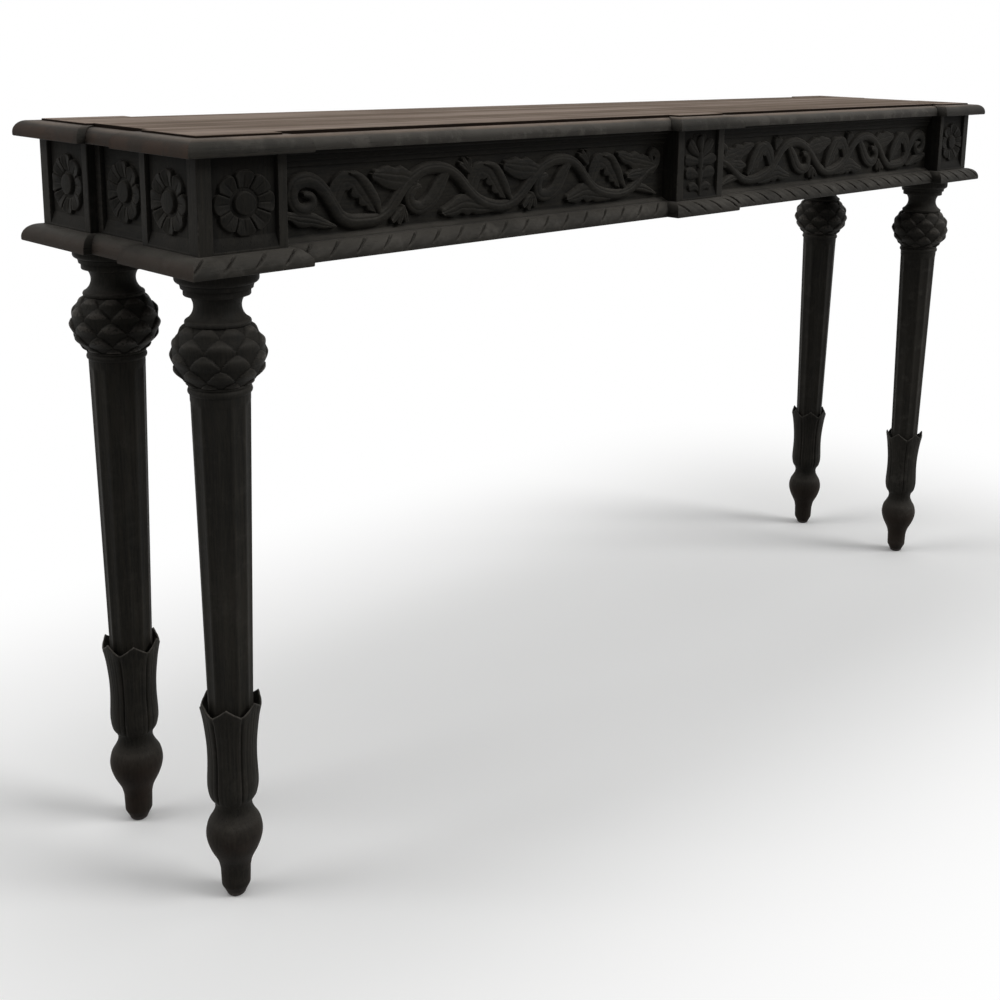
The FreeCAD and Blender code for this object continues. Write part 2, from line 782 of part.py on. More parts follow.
def table():
    """Every piece of the table by name."""
    nodes = top_boards()
    top_edge = thumb_outline(-field_inset, top_overhang, frame_top, table_height - field_proud,
                             top_edge_flat, top_edge_shoulder)
    rope_edge = thumb_outline(0, rope_overhang, frame_bottom, rope_top, rope_edge_flat, rope_edge_shoulder)
    nodes.update(mouldings("top_moulding", top_edge))
    nodes.update(mouldings("rope_moulding", rope_edge))
    nodes["centre_block"] = centre_block()
    nodes["front_bearer"] = long_rail(bearer_front, bearer_back, bearer_middle)
    nodes["back_rail"] = long_rail(rail_front, rail_back, rail_middle)
    holes = [screw(x, y, bore_gap) for x, y in screw_places()]
    for name, x in bearer_places.items():
        nodes["cross_bearer_" + name] = cross_bearer(x, 0).cut(holes)
    one_leg, one_glide = leg(), glide()
    for name, side in sides.items():
        nodes["frieze_panel_" + name] = frieze_panel(side)
        nodes["end_panel_" + name] = end_panel(side)
        for row_name, row in rows.items():
            place = Vector(side * leg_x, row * leg_y, 0)
            corner = row_name + "_" + name
            nodes["corner_block_" + corner] = corner_block(side, row)
            nodes["leg_" + corner] = hung(one_leg, place, Rotation())
            nodes["glide_" + corner] = hung(one_glide, place, Rotation())
    nodes.update(ornaments())
    nodes["top_screws"] = Part.makeCompound([screw(x, y, 0) for x, y in screw_places()])
    return nodes


os.makedirs("parts", exist_ok=True)
for node, shape in sorted(table().items()):
    shape.exportStep("parts/" + node + ".step")
    bounds = shape.BoundBox
    print(node, len(shape.Solids), shape.isValid(), round(shape.Volume), bounds)
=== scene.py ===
# %% [markdown]
# # A carved pier table
# A pier table is a long narrow side table that stands against a wall. This one has a stepped top, a carved
# frieze, a rope moulding under it and four turned legs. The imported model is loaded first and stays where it
# is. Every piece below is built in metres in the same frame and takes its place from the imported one.

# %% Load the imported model
import math

import bmesh
import bpy
import numpy as np
from mathutils import Matrix, Vector


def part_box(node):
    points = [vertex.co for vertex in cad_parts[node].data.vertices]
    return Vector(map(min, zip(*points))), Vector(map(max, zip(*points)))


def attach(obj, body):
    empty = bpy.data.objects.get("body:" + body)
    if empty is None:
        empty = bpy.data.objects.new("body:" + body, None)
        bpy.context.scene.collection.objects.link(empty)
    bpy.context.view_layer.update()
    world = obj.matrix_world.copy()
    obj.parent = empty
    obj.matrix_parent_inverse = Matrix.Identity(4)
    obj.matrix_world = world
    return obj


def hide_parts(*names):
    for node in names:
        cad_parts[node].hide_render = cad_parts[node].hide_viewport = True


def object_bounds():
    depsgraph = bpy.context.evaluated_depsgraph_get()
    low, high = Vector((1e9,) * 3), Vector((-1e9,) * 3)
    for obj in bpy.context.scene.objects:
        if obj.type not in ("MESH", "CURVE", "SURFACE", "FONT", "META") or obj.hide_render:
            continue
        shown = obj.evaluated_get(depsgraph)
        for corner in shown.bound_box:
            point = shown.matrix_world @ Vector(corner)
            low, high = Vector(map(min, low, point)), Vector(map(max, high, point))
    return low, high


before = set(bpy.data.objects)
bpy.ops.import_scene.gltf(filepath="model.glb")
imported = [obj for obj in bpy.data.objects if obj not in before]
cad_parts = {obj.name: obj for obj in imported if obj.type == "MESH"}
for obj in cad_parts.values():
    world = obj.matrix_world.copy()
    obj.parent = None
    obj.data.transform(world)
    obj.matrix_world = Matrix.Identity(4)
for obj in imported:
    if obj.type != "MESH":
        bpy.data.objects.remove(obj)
cad_low, cad_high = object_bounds()
mm = 0.001
print("packed model:", [round(high - low, 4) for low, high in zip(cad_low, cad_high)], "m")

# %% [markdown]
# ## Places
# The blocks, panels and rails of the frame say where everything else goes. Reading their boxes from the
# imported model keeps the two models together: when the table is made longer, the carving moves with it.

# %% Read the main places
block_low, block_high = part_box("corner_block_front_left")
half_length, half_depth = -block_low.x, -block_low.y
block_width = block_high.x - block_low.x
frame_bottom, frame_top = block_low.z, block_high.z
front_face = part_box("frieze_panel_left")[0].y
end_face = -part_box("end_panel_left")[0].x
rail_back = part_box("back_rail")[1].y
centre_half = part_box("centre_block")[1].x
bearer_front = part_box("centre_block")[1].y
table_top = cad_high.z
rope_height = 21 * mm
rope_top = frame_bottom + rope_height
panel_length = half_length - block_width - centre_half
print("frieze panel:", round(panel_length / mm), "mm long, rope moulding up to", round(rope_top / mm), "mm")

# %% [markdown]
# ## Finishes as sums
# A finish is a network of nodes, and most of it is arithmetic on grey values. The class below wraps one
# socket, so that a mask can be written as a Python sum and each step becomes a Math node. Any other node
# comes from one method that sets it up, feeds its sockets and hands back one of its outputs.

# %% Sockets that can be added and multiplied
class Signal:
    """An output socket of a finish that can be used in sums like a number."""

    def __init__(self, tree, socket=None):
        self.tree, self.socket = tree, socket

    def node(self, kind, settings=None, sockets=None, output=0):
        """Adds a node, sets it up, feeds its sockets and returns one of its outputs."""
        made = self.tree.nodes.new("ShaderNode" + kind)
        for name, value in (settings or {}).items():
            setattr(made, name, value)
        for key, value in (sockets or {}).items():
            named = [s for s in made.inputs if key in (s.identifier, s.name)]
            socket = made.inputs[key] if isinstance(key, int) else named[0]
            if isinstance(value, Signal):
                self.tree.links.new(value.socket, socket)
            else:
                socket.default_value = value
        return Signal(self.tree, made.outputs[output])

    def math(self, operation, first, second):
        return self.node("Math", {"operation": operation}, {0: first, 1: second})

    def __add__(self, other):
        return self.math("ADD", self, other)

    def __sub__(self, other):
        return self.math("SUBTRACT", self, other)

    def __rsub__(self, other):
        return self.math("SUBTRACT", other, self)

    def __mul__(self, other):
        return self.math("MULTIPLY", self, other)

    def __pow__(self, other):
        return self.math("POWER", self, other)

    __radd__, __rmul__ = __add__, __mul__

    def between(self, low, high):
        """0 below low, 1 above high and a soft step from one to the other."""
        ends = {"Value": self, "From Min": low, "From Max": high}
        return self.node("MapRange", {"interpolation_type": "SMOOTHSTEP"}, ends)

    def blend(self, low, high):
        """A colour that goes from low to high with this value."""
        ends = {"Factor_Float": self, "A_Color": low, "B_Color": high}
        return self.node("Mix", {"data_type": "RGBA"}, ends, output=2)

    def vector(self, operation, other=(0.0, 0.0, 0.0), output=0):
        """A step of arithmetic on a place, with another place."""
        return self.node("VectorMath", {"operation": operation}, {0: self, 1: other}, output)

    def part(self, axis):
        """One of the three numbers of a place or a direction."""
        return self.node("SeparateXYZ", {}, {0: self}, axis)


print("signals ready")

# %% Clouds, stored values and new finishes
def noise(place, scale, detail=3.0, roughness=0.5):
    """Soft grey clouds, about scale of them to a metre."""
    sockets = {"Vector": place, "Scale": scale, "Detail": detail, "Roughness": roughness}
    return place.node("TexNoise", {}, sockets)


def stretched(place, scale):
    """The same places squeezed along each axis, which draws clouds out into fibres."""
    return place.vector("MULTIPLY", scale)


def stored(place, name):
    """A value that each point of the piece carries, such as its wear."""
    return place.node("Attribute", {"attribute_name": name}, output=2)


def facing(place):
    """The direction that the surface faces."""
    return place.node("NewGeometry", output=1)


def bumped(height, strength, distance):
    """A height in the finish as a bent direction, for light alone."""
    return height.node("Bump", {}, {"Strength": strength, "Distance": distance, "Height": height})


def begin_finish(name):
    """A new material, its shader and a signal of the places on the piece, in metres."""
    material = bpy.data.materials.new(name)
    material.use_nodes = True
    tree = material.node_tree
    print("finish", name)
    return material, tree.nodes["Principled BSDF"], Signal(tree).node("TexCoord", output=3)


def feed(shader, constants, signals):
    """Sets the even values of a shader and links the ones that vary."""
    for name, value in constants.items():
        shader.inputs[name].default_value = value
    for name, signal in signals.items():
        signal.tree.links.new(signal.socket, shader.inputs[name])


print("finish helpers ready")

# %% [markdown]
# ## Dark carved wood
# The frame and legs are an open-grained hardwood under an old, almost black stain. The stain has faded and
# gathered dust on faces that look up, and these faces are painted paler still, as a painted highlight of the
# light from above. It has rubbed thin on edges, hands have browned the mouldings at the table's ends, and
# the feet are scuffed. Hollows, creases and inner corners are darkened, partly as dirt and partly as painted
# shade. Each piece carries two values at its points, wear and grime with painted shade, measured from its
# own shape further down, so the finish follows the carving itself. The grain runs along the piece, so there
# is one finish for each direction.

# %% Colours and shares of the dark wood
stain_dark = (0.0080, 0.0078, 0.0068, 1)
stain_brown = (0.0232, 0.0210, 0.0170, 1)
# Pale grey of faded, dusty and worn wood, also painted on upper faces as light from above.
faded_and_toplit_grey = (0.0790, 0.0730, 0.0640, 1)
worn_wood = (0.0950, 0.0850, 0.0740, 1)
# Tan of worn upper faces of the top moulding, partly a painted highlight of light from above.
worn_and_toplit_tan = (0.1750, 0.1310, 0.1000, 1)
handled_brown = (0.0480, 0.0300, 0.0210, 1)
scuffed_brown = (0.0330, 0.0215, 0.0165, 1)
# Near black of dirt and painted shade in hollows, and of the open pores.
grime_and_shade_black = (0.0030, 0.0028, 0.0024, 1)
grain_ratio = 16.0
fibre_count = 22.0
end_from, end_to = half_length - 50 * mm, half_length - 30 * mm
scuff_low, scuff_high = 70 * mm, 120 * mm
faded_and_toplit_share, dust_share, wear_share, toplit_crown_share = 0.58, 0.12, 0.28, 0.90
stain_share, scuff_share, rubbed_share = 0.62, 0.60, 0.75
grime_and_shade_share, pore_share = 0.75, 0.40
print("browned from", round(end_from / mm), "mm outwards, scuffed up to", round(scuff_high / mm), "mm")

# %% Dark wood along three directions
def dark_wood(name, grain_axis, fade=0.0, crown=faded_and_toplit_grey, handled=0.0):
    """Stained wood; fade lightens it, crown is the wear and painted top light of upper faces, handled browns
    the ends.
    """
    material, shader, place = begin_finish(name)
    squeeze = [grain_ratio] * 3
    squeeze[grain_axis] = 1.0
    along = stretched(place, squeeze)
    fibre = noise(along, fibre_count, 5.0, 0.62)
    pores = noise(along, fibre_count * 3, 2.0, 0.5).between(0.60, 0.70)
    patches = noise(place, 9.0, 4.0, 0.6)
    speckle = noise(place, 260.0, 2.0, 0.6)
    dust = noise(place, 34.0, 5.0, 0.7).between(0.48, 0.74)
    wear, grime_and_shade = stored(place, "wear"), stored(place, "grime_and_shade")
    normal = facing(place)
    upward = normal.part(2)
    # Upper faces paler: fading and dust, and a painted highlight of the light from above.
    faded_and_toplit = upward.between(0.05, 0.85) * (0.35 + patches.between(0.30, 0.70) * 0.65)
    rubbed = (wear * patches.between(0.30, 0.62) * speckle.between(0.25, 0.60)).between(0.20, 0.66)
    colour = (fibre * 0.60 + patches * 0.40).between(0.36, 0.64).blend(stain_dark, stain_brown)
    mottle = 0.25 + patches * 0.7 + dust
    if handled:
        ends = (place.part(0) ** 2.0).between(end_from ** 2, end_to ** 2) * handled
        sideways = (normal.part(0) ** 2.0).between(0.15, 0.80)
        stains = noise(place, 17.0, 4.0, 0.65).between(0.46, 0.62)
        faded_and_toplit = faded_and_toplit * (1 - ends * 0.45)
    paler = faded_and_toplit * faded_and_toplit_share + dust * dust_share + wear * wear_share + fade * mottle
    colour = paler.blend(colour, faded_and_toplit_grey)
    if handled:
        colour = (sideways * ends * (0.4 + patches)).blend(colour, handled_brown)
        colour = (stains * ends * stain_share).blend(colour, stain_brown)
    # Upper faces turn to the crown colour: wear, and painted top light.
    colour = (faded_and_toplit * upward.between(0.74, 0.99) * toplit_crown_share).blend(colour, crown)
    if grain_axis == 2:
        scuffed = (1 - place.part(2).between(scuff_low, scuff_high)) * patches.between(0.30, 0.60)
        colour = (scuffed * scuff_share).blend(colour, scuffed_brown)
    colour = (rubbed * rubbed_share).blend(colour, worn_wood)
    # Darker in hollows and creases: dirt and painted shade, and the open pores.
    colour = (grime_and_shade * grime_and_shade_share + pores * pore_share).between(0.05, 0.95).blend(colour, grime_and_shade_black)
    roughness = 0.52 + fibre * 0.16 + grime_and_shade * 0.14 - rubbed * 0.10
    height = fibre * 0.35 - pores * 0.5 + speckle * 0.12 + dust * 0.30
    feed(shader, {"Specular IOR Level": 0.07},
         {"Base Color": colour, "Roughness": roughness, "Normal": bumped(height, 0.40, 0.8 * mm)})
    return material


wood_along = dark_wood("dark_wood_along", 0)
wood_deep = dark_wood("dark_wood_deep", 1)
wood_upright = dark_wood("dark_wood_upright", 2, 0.08)
wood_shaded = dark_wood("dark_wood_shaded", 2)
# Paler copy for the right front leg: some dust, and painted light where that leg is brighter.
wood_dusty_and_lit = dark_wood("dark_wood_dusty_and_lit", 2, 0.36)
# Paler copy for the long runs of the top moulding: painted sheen, with some fading.
edge_run_sheen = dark_wood("edge_wood_run_sheen", 0, 0.80, worn_and_toplit_tan)
edge_along = dark_wood("edge_wood_along", 0, 0.30, worn_and_toplit_tan, 0.95)
edge_deep = dark_wood("edge_wood_deep", 1, 0.30, worn_and_toplit_tan, 0.95)
rope_along = dark_wood("rope_wood_along", 0, 0.36, faded_and_toplit_grey, 0.45)
rope_deep = dark_wood("rope_wood_deep", 1, 0.36, faded_and_toplit_grey, 0.45)

# %% [markdown]
# ## The top and the hidden wood
# The boards of the top have been wiped and lit for years, so they have gone a dry grey brown, with long
# streaks that run the whole length. The rails inside were never stained. Both are drawn out of the same
# stretched clouds, with paler colours and a stronger contrast from streak to streak.

# %% Faded top and plain inner wood
top_pale = (0.252, 0.200, 0.165, 1)
top_brown = (0.104, 0.076, 0.056, 1)
# Near black for the upright sides of the top's field: painted shade.
field_side_shade = (0.012, 0.008, 0.006, 1)
top_scratch = (0.340, 0.290, 0.250, 1)
inner_pale = (0.120, 0.078, 0.046, 1)
inner_dark = (0.062, 0.038, 0.022, 1)


def streaked_wood(name, dark, pale, streak_count, roughness_low, side=None):
    """Bare wood with long streaks between two colours; side, if given, colours its upright faces as painted
    shade.
    """
    material, shader, place = begin_finish(name)
    fibre = noise(stretched(place, (0.3, grain_ratio, grain_ratio)), streak_count, 6.0, 0.65)
    broad = noise(stretched(place, (0.5, 18.0, 18.0)), 1.6, 3.0, 0.55)
    patches = noise(place, 5.0, 4.0, 0.6)
    speckle = noise(place, 210.0, 3.0, 0.65)
    scratches = noise(stretched(place, (2.0, 60.0, 60.0)), 9.0, 2.0, 0.5).between(0.66, 0.74)
    tone = (fibre * 0.36 + broad * 0.44 + patches * 0.20).between(0.42, 0.58)
    colour = tone.blend(dark, pale)
    colour = (scratches * patches.between(0.4, 0.7) * 0.40).blend(colour, top_scratch)
    colour = (speckle.between(0.58, 0.75) * 0.45).blend(colour, dark)
    # Darker on rounded rims: painted shade along the edge of the top's field.
    colour = (stored(place, "wear") * 0.6).blend(colour, dark)
    if side:
        colour = facing(place).part(2).between(0.25, 0.85).blend(side, colour)
    roughness = roughness_low + fibre * 0.14 + patches * 0.10
    height = fibre * 0.4 + speckle * 0.15 - scratches * 0.2
    feed(shader, {"Specular IOR Level": 0.03},
         {"Base Color": colour, "Roughness": roughness, "Normal": bumped(height, 0.30, 0.5 * mm)})
    return material


top_wood = streaked_wood("faded_top", top_brown, top_pale, 14.0, 0.62, field_side_shade)
inner_wood = streaked_wood("inner_wood", inner_dark, inner_pale, 18.0, 0.66)

# %% [markdown]
# ## Steel of the glides and screws
# The glides under the feet and the screws under the top are dull steel. Clouds of two sizes mix clean metal
# with brown rust, and the rust is rougher and less metallic.

# %% Rusted steel
clean_steel = (0.080, 0.074, 0.070, 1)
dark_steel = (0.034, 0.032, 0.031, 1)
rust_brown = (0.026, 0.020, 0.017, 1)


def old_steel(name, rust_from, rust_to):
    """Dull steel; a lower rust_from and rust_to leave more rust on it."""
    material, shader, place = begin_finish(name)
    clouds = noise(place, 130.0, 5.0, 0.6) * 0.7 + noise(place, 700.0, 2.0, 0.5) * 0.3
    rust = clouds.between(rust_from, rust_to)
    scuffs = noise(stretched(place, (1.0, 12.0, 12.0)), 240.0, 3.0, 0.6)
    colour = rust.blend(scuffs.between(0.3, 0.7).blend(dark_steel, clean_steel), rust_brown)
    feed(shader, {}, {"Base Color": colour, "Roughness": 0.32 + rust * 0.35 + scuffs * 0.12,
                      "Metallic": 0.95 - rust * 0.65,
                      "Normal": bumped(rust * 0.6 + scuffs * 0.4, 0.3, 0.2 * mm)})
    return material


glide_steel = old_steel("glide_steel", 0.36, 0.52)
screw_steel = old_steel("screw_steel", 0.42, 0.60)

# %% [markdown]
# ## From points to pieces
# Every piece is made the same way: grids of points are gathered in a shell, neighbouring points become
# quads, and open ends get a cap, so that the mesh is closed. The mesh is then measured at each point: a
# point that stands above its neighbours will be rubbed, and one that lies below them is darkened, as dirt
# and as painted shade in the crease. A few rounds of averaging spread both values a little, as hands and
# wax would.

# %% Shells of points and faces
class Shell:
    """Points and faces of one piece, gathered before they become a mesh."""

    def __init__(self):
        self.points, self.faces, self.count = [], [], 0

    def add(self, points):
        """Takes in a grid of points and returns the grid of their numbers."""
        points = np.asarray(points, float)
        numbers = self.count + np.arange(points[..., 0].size).reshape(points.shape[:-1])
        self.points.append(points.reshape(-1, 3))
        self.count += numbers.size
        return numbers

    def skin(self, numbers, wrap=False):
        """Quads between neighbouring points; wrap joins the last column to the first."""
        if wrap:
            numbers = np.concatenate([numbers, numbers[:, :1]], axis=1)
        quads = [numbers[:-1, :-1], numbers[:-1, 1:], numbers[1:, 1:], numbers[1:, :-1]]
        self.faces += np.stack(quads, axis=-1).reshape(-1, 4).tolist()

    def cap(self, loop):
        self.faces.append([int(number) for number in loop])

    def tube(self, rings):
        """A closed body from rings of points, with a cap at each end."""
        numbers = self.add(rings)
        self.skin(numbers, wrap=True)
        self.cap(numbers[0])
        self.cap(numbers[-1][::-1])

    def raw_mesh(self, name):
        mesh = bpy.data.meshes.new(name)
        mesh.from_pydata(np.concatenate(self.points).tolist(), [], self.faces)
        return mesh


same_place = 0.002 * mm


def shell_mesh(name, shell):
    """A mesh with its faces turned outwards, doubled points joined and unused points dropped."""
    mesh = shell.raw_mesh(name)
    work = bmesh.new()
    work.from_mesh(mesh)
    bmesh.ops.delete(work, geom=[v for v in work.verts if not v.link_faces], context="VERTS")
    bmesh.ops.remove_doubles(work, verts=work.verts, dist=same_place)
    bmesh.ops.recalc_face_normals(work, faces=work.faces)
    work.to_mesh(mesh)
    work.free()
    return mesh


print("shells ready")

# %% Measure wear, and grime with painted shade
wear_radius = 1.6 * mm
grime_and_shade_radius = 1.3 * mm
shortest_edge = 0.05 * mm
spread_rounds = 2


def neighbour_mean(values, edges, counts):
    total = np.bincount(edges[:, 0], values[edges[:, 1]], len(values))
    return (total + np.bincount(edges[:, 1], values[edges[:, 0]], len(values))) / counts


def read_points(source, name, size=3):
    """One value or vector of every point of a mesh, as rows."""
    values = np.empty(len(source) * size)
    source.foreach_get(name, values)
    return values.reshape(-1, size)


def measure_wear(mesh):
    """Stores how sharply each point stands out of the surface (wear) or lies in it (grime and painted shade).
    """
    points, normals = read_points(mesh.vertices, "co"), read_points(mesh.vertex_normals, "vector")
    edges = np.empty(len(mesh.edges) * 2, int)
    mesh.edges.foreach_get("vertices", edges)
    edges = edges.reshape(-1, 2)
    near, far = edges[:, 0], edges[:, 1]
    counts = np.maximum(np.bincount(edges.ravel(), minlength=len(points)), 1)
    reach = points[far] - points[near]
    square = np.maximum((reach ** 2).sum(1), shortest_edge ** 2)
    bend = np.bincount(near, -(normals[near] * reach).sum(1) / square, len(points))
    bend += np.bincount(far, (normals[far] * reach).sum(1) / square, len(points))
    bend /= counts
    for round_number in range(spread_rounds):
        bend = (bend + neighbour_mean(bend, edges, counts)) / 2
    # Points lying below their neighbours get grime: dirt and painted shade in the crease.
    for name, values in (("wear", bend * wear_radius), ("grime_and_shade", -bend * grime_and_shade_radius)):
        layer = mesh.attributes.new(name, "FLOAT", "POINT")
        layer.data.foreach_set("value", np.clip(values * 2, 0, 1).astype(np.float32))


print("wear within", wear_radius / mm, "mm of an edge")

# %% Put a piece in its place
def place_piece(name, shell, node, finish, sharp=38.0):
    """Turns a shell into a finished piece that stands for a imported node."""
    mesh = shell_mesh(name, shell)
    mesh.shade_smooth()
    mesh.set_sharp_from_angle(angle=math.radians(sharp))
    measure_wear(mesh)
    mesh.materials.append(finish)
    piece = bpy.data.objects.new(name, mesh)
    bpy.context.collection.objects.link(piece)
    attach(piece, "root")
    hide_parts(node)
    print(name, len(mesh.polygons), "faces")
    return piece


def spread(piece, layer, share):
    """Adds wear, or grime and painted shade, to a piece; share gives how much for an array of places on it.
    """
    mesh = piece.data
    data = mesh.attributes[layer].data
    values = read_points(data, "value", 1)[:, 0] + share(read_points(mesh.vertices, "co"))
    data.foreach_set("value", np.clip(values, 0, 1).astype(np.float32))


print("pieces can be placed")

# %% [markdown]
# ## Strokes of a gouge
# The frieze is cut in shallow relief. A carver draws each stem and leaf as a flowing line and then models
# across it, and a height map can be built the same way: for each place on the board we find the nearest
# point of the line, which gives a share along the stroke and an offset across it, and a small rule turns the
# two into a height. Strokes are laid over each other and the highest one shows. A mesh grid then follows the
# height map, so every curl is real geometry.

# %% Flowing lines and soft steps
line_step = 0.6


def flowing(points):
    """A smooth line through points (millimetres), in short even steps."""
    points = np.asarray(points, float)
    ends = np.concatenate([[2 * points[0] - points[1]], points, [2 * points[-1] - points[-2]]])
    line = []
    for before, here, there, after in zip(ends, ends[1:], ends[2:], ends[3:]):
        count = max(int(np.linalg.norm(there - here) / line_step), 2)
        t = np.linspace(0, 1, count, endpoint=False)[:, None]
        bend = 2 * before - 5 * here + 4 * there - after
        twist = 3 * here - before - 3 * there + after
        line.append(0.5 * (2 * here + (there - before) * t + bend * t ** 2 + twist * t ** 3))
    return np.concatenate(line + [points[-1:]])


def soft_step(values, low, high):
    share = np.clip((values - low) / (high - low), 0, 1)
    return share * share * (3 - 2 * share)


print("lines in steps of", line_step, "mm")

# %% A board that is carved stroke by stroke
stroke_edge = 1.2
edge_outside, edge_inside = 0.35, 0.65
lobe_ramp = 0.1
thinnest_stroke = 0.3
crown_power = 2.4


class Board:
    """A carver's board: heights in millimetres over a grid of places."""

    def __init__(self, width, height, spacing):
        self.across = np.linspace(0, width, int(width / spacing) + 1)
        self.up = np.linspace(0, height, int(height / spacing) + 1)
        self.s, self.h = np.meshgrid(self.across, self.up)
        self.height = np.zeros_like(self.s)

    def stroke(self, points, rule, lobes=0, lobe_depth=0.0, lobe_side=0, lobe_from=0.0):
        """Raises a stroke along points of (place across, place up, half width).

        Lobes scallop its edges from a share of its length on: both, or the left (1) or right one (-1).
        """
        line = flowing(points)
        line, widths = line[:, :2], line[:, 2]
        tangent = np.gradient(line, axis=0)
        tangent /= np.linalg.norm(tangent, axis=1)[:, None]
        reach = widths.max() + stroke_edge
        low, high = line.min(0) - reach, line.max(0) + reach
        columns = slice(*np.searchsorted(self.across, (low[0], high[0])))
        rows = slice(*np.searchsorted(self.up, (low[1], high[1])))
        s, h = self.s[rows, columns], self.h[rows, columns]
        near, nearest = np.full(s.shape, np.inf), np.zeros(s.shape, int)
        for number, (x, y) in enumerate(line):
            distance = (s - x) ** 2 + (h - y) ** 2
            closer = distance < near
            near[closer], nearest[closer] = distance[closer], number
        near, share, width = np.sqrt(near), nearest / len(line), widths[nearest]
        offset, turn = np.stack([s, h], -1) - line[nearest], tangent[nearest]
        aside = turn[..., 0] * offset[..., 1] - turn[..., 1] * offset[..., 0]
        if lobes:
            scallop = np.abs(np.cos(math.pi * lobes * share)) ** 3
            scallop *= soft_step(share, lobe_from, lobe_from + lobe_ramp)
            width = np.where(aside * lobe_side >= 0, width * (1 - lobe_depth * scallop), width)
        inside = soft_step(width - near, -stroke_edge * edge_outside, stroke_edge * edge_inside)
        raised = inside * rule(np.clip(aside / np.maximum(width, thinnest_stroke), -1.2, 1.2))
        self.height[rows, columns] = np.maximum(self.height[rows, columns], raised)


def grooved(relief, grooves, depth, width=0.16, crown=0.30):
    """A rounded stroke with gouge lines along it, as a rule of the share across."""
    def rule(across):
        height = relief * (1 - crown * np.abs(across) ** crown_power)
        for place in grooves:
            height -= depth * np.exp(-((across - place) / width) ** 2)
        return height
    return rule


print("gouge rules ready")

# %% [markdown]
# ## The scrolling vine
# On each front panel a stem swings up and down from a scroll near the corner. In each trough a crook of leaf
# stands up and rolls over, under each crest a curl hangs down, and lobed leaves and small buds fill the
# corners. The lines below are the carver's drawing: place along the panel, height above the rope moulding
# and half width, all in millimetres. Crooks, curls, leaves and buds come back after each repeat, a little
# different each time because they were cut by hand.

# %% Draw the vine
repeat = 221.0
crook_slips = (0.0, -6.0, 0.0)
leaf_slips = (2.0, 8.0)
stem_line = [
    (39, 53, 4), (48, 50, 5.5), (50, 43, 6.5), (44, 37, 7), (35, 35.5, 7.5), (26, 41, 8), (21.5, 52, 8.8),
    (26, 64, 9.5), (40, 68.5, 9.8), (54, 65, 9.4), (67, 54, 8.8), (78, 39, 8.6), (88, 25, 8.6),
    (102, 17.5, 8.8), (122, 16, 8.4), (142, 17, 8.2), (158, 24, 8.2), (171, 37, 8.2), (185, 53, 8.2),
    (202, 65, 8), (220, 71.5, 7.8), (240, 72, 7.6), (258, 67.5, 7.6), (273, 58, 7.8), (287, 44, 8.2),
    (302, 31, 8.4), (318, 22.5, 8.4), (338, 17, 8.4), (358, 17.5, 8.2), (377, 25, 8.2), (393, 38, 8.2),
    (408, 52, 8.2), (425, 63.5, 8), (445, 70.5, 7.8), (465, 71, 7.6), (482, 67, 7.6), (497, 57, 7.8),
    (508, 45, 8), (520, 33, 8.2), (535, 24, 8.2), (556, 18, 8), (577, 16, 7.8), (597, 18.5, 7.6),
    (613, 25.5, 7.4), (628, 36, 7.2), (642, 45, 6.5), (654, 50, 5)]
blade_line = [(80, 42, 9), (85, 57, 11.5), (95, 65, 11), (107, 61, 11.5), (117, 50, 11), (127, 38, 8.5),
              (138, 27, 2.5)]
roll_line = [(102, 73, 1.5), (111, 72, 4), (120, 67, 6), (128, 58.5, 7), (135, 48, 7.2), (141, 37, 6.6),
             (146, 28.5, 4.5)]
curl_line = [(251, 63, 7), (239, 48, 10), (226, 33, 10), (210, 25, 8.6), (196.5, 29, 8.2), (193, 39.5, 7.8),
             (198, 48.5, 7), (206, 51, 5)]
top_leaf_line = [(198, 60, 8), (177, 63.5, 15), (157, 65.5, 13.5), (142, 69, 8.5)]
low_leaf_line = [(326, 15, 6), (304, 19, 10.5), (282, 23, 14), (263, 20, 10.5), (248, 16.5, 7)]
bud_petals = (
    [(182, 28, 3), (176, 21, 5.5), (168, 15, 4.5)], [(184, 28, 3), (187, 19, 5.5), (188, 13, 4.5)],
    [(183, 28, 3), (179, 18, 6), (176, 11, 5)], [(291, 64, 3), (282, 72, 4.5), (275, 75, 3.5)],
    [(293, 66, 3), (291, 74, 4.5), (290, 79, 3.5)], [(291, 65, 3), (286, 73, 5), (282, 79, 4)])
start_leaf_line = [(80, 14, 2.5), (66, 17.5, 6), (50, 22, 9), (32, 25.5, 9.5), (18, 29, 6)]
end_leaf_line = [(650, 55, 8), (625, 60, 13), (602, 64, 11.5), (578, 72, 5.5)]
end_lobe_line = [(650, 46, 7), (630, 44, 10.5), (612, 42, 9.5), (599, 41, 6)]
end_curl_line = [(630, 43, 6), (645, 47, 8), (658, 54, 8.5), (663, 65, 8), (656, 72, 7), (648, 68, 5.5),
                 (650, 62, 4)]
end_tip_line = [(608, 24, 4), (630, 22, 7), (648, 17, 5), (662, 12, 2)]
print("stem drawn with", len(stem_line), "points")

# %% Carve the vine
stem_rule = grooved(8.6, (0.42,), 0.8, 0.14, 0.48)
blade_rule = grooved(6.4, (-0.1,), 0.6, 0.13, 0.22)
roll_rule = grooved(9.0, (), 0.0, 0.2, 0.38)
curl_rule = grooved(7.8, (0.25,), 0.7, 0.13, 0.34)
leaf_rule = grooved(7.6, (-0.30, 0.25), 0.8, 0.10, 0.30)
bud_rule = grooved(7.2, (0.0,), 1.0, 0.16, 0.45)
hand_shake = np.random.default_rng(7)
shake_along, shake_up = 0.7, 0.5


def shifted(points, turns, slip=0.0):
    """A repeat of a line further along the panel, as uneven as handwork."""
    away = turns * repeat + slip
    return [(x + away + hand_shake.normal(0, shake_along), y + hand_shake.normal(0, shake_up), w)
            for x, y, w in points]


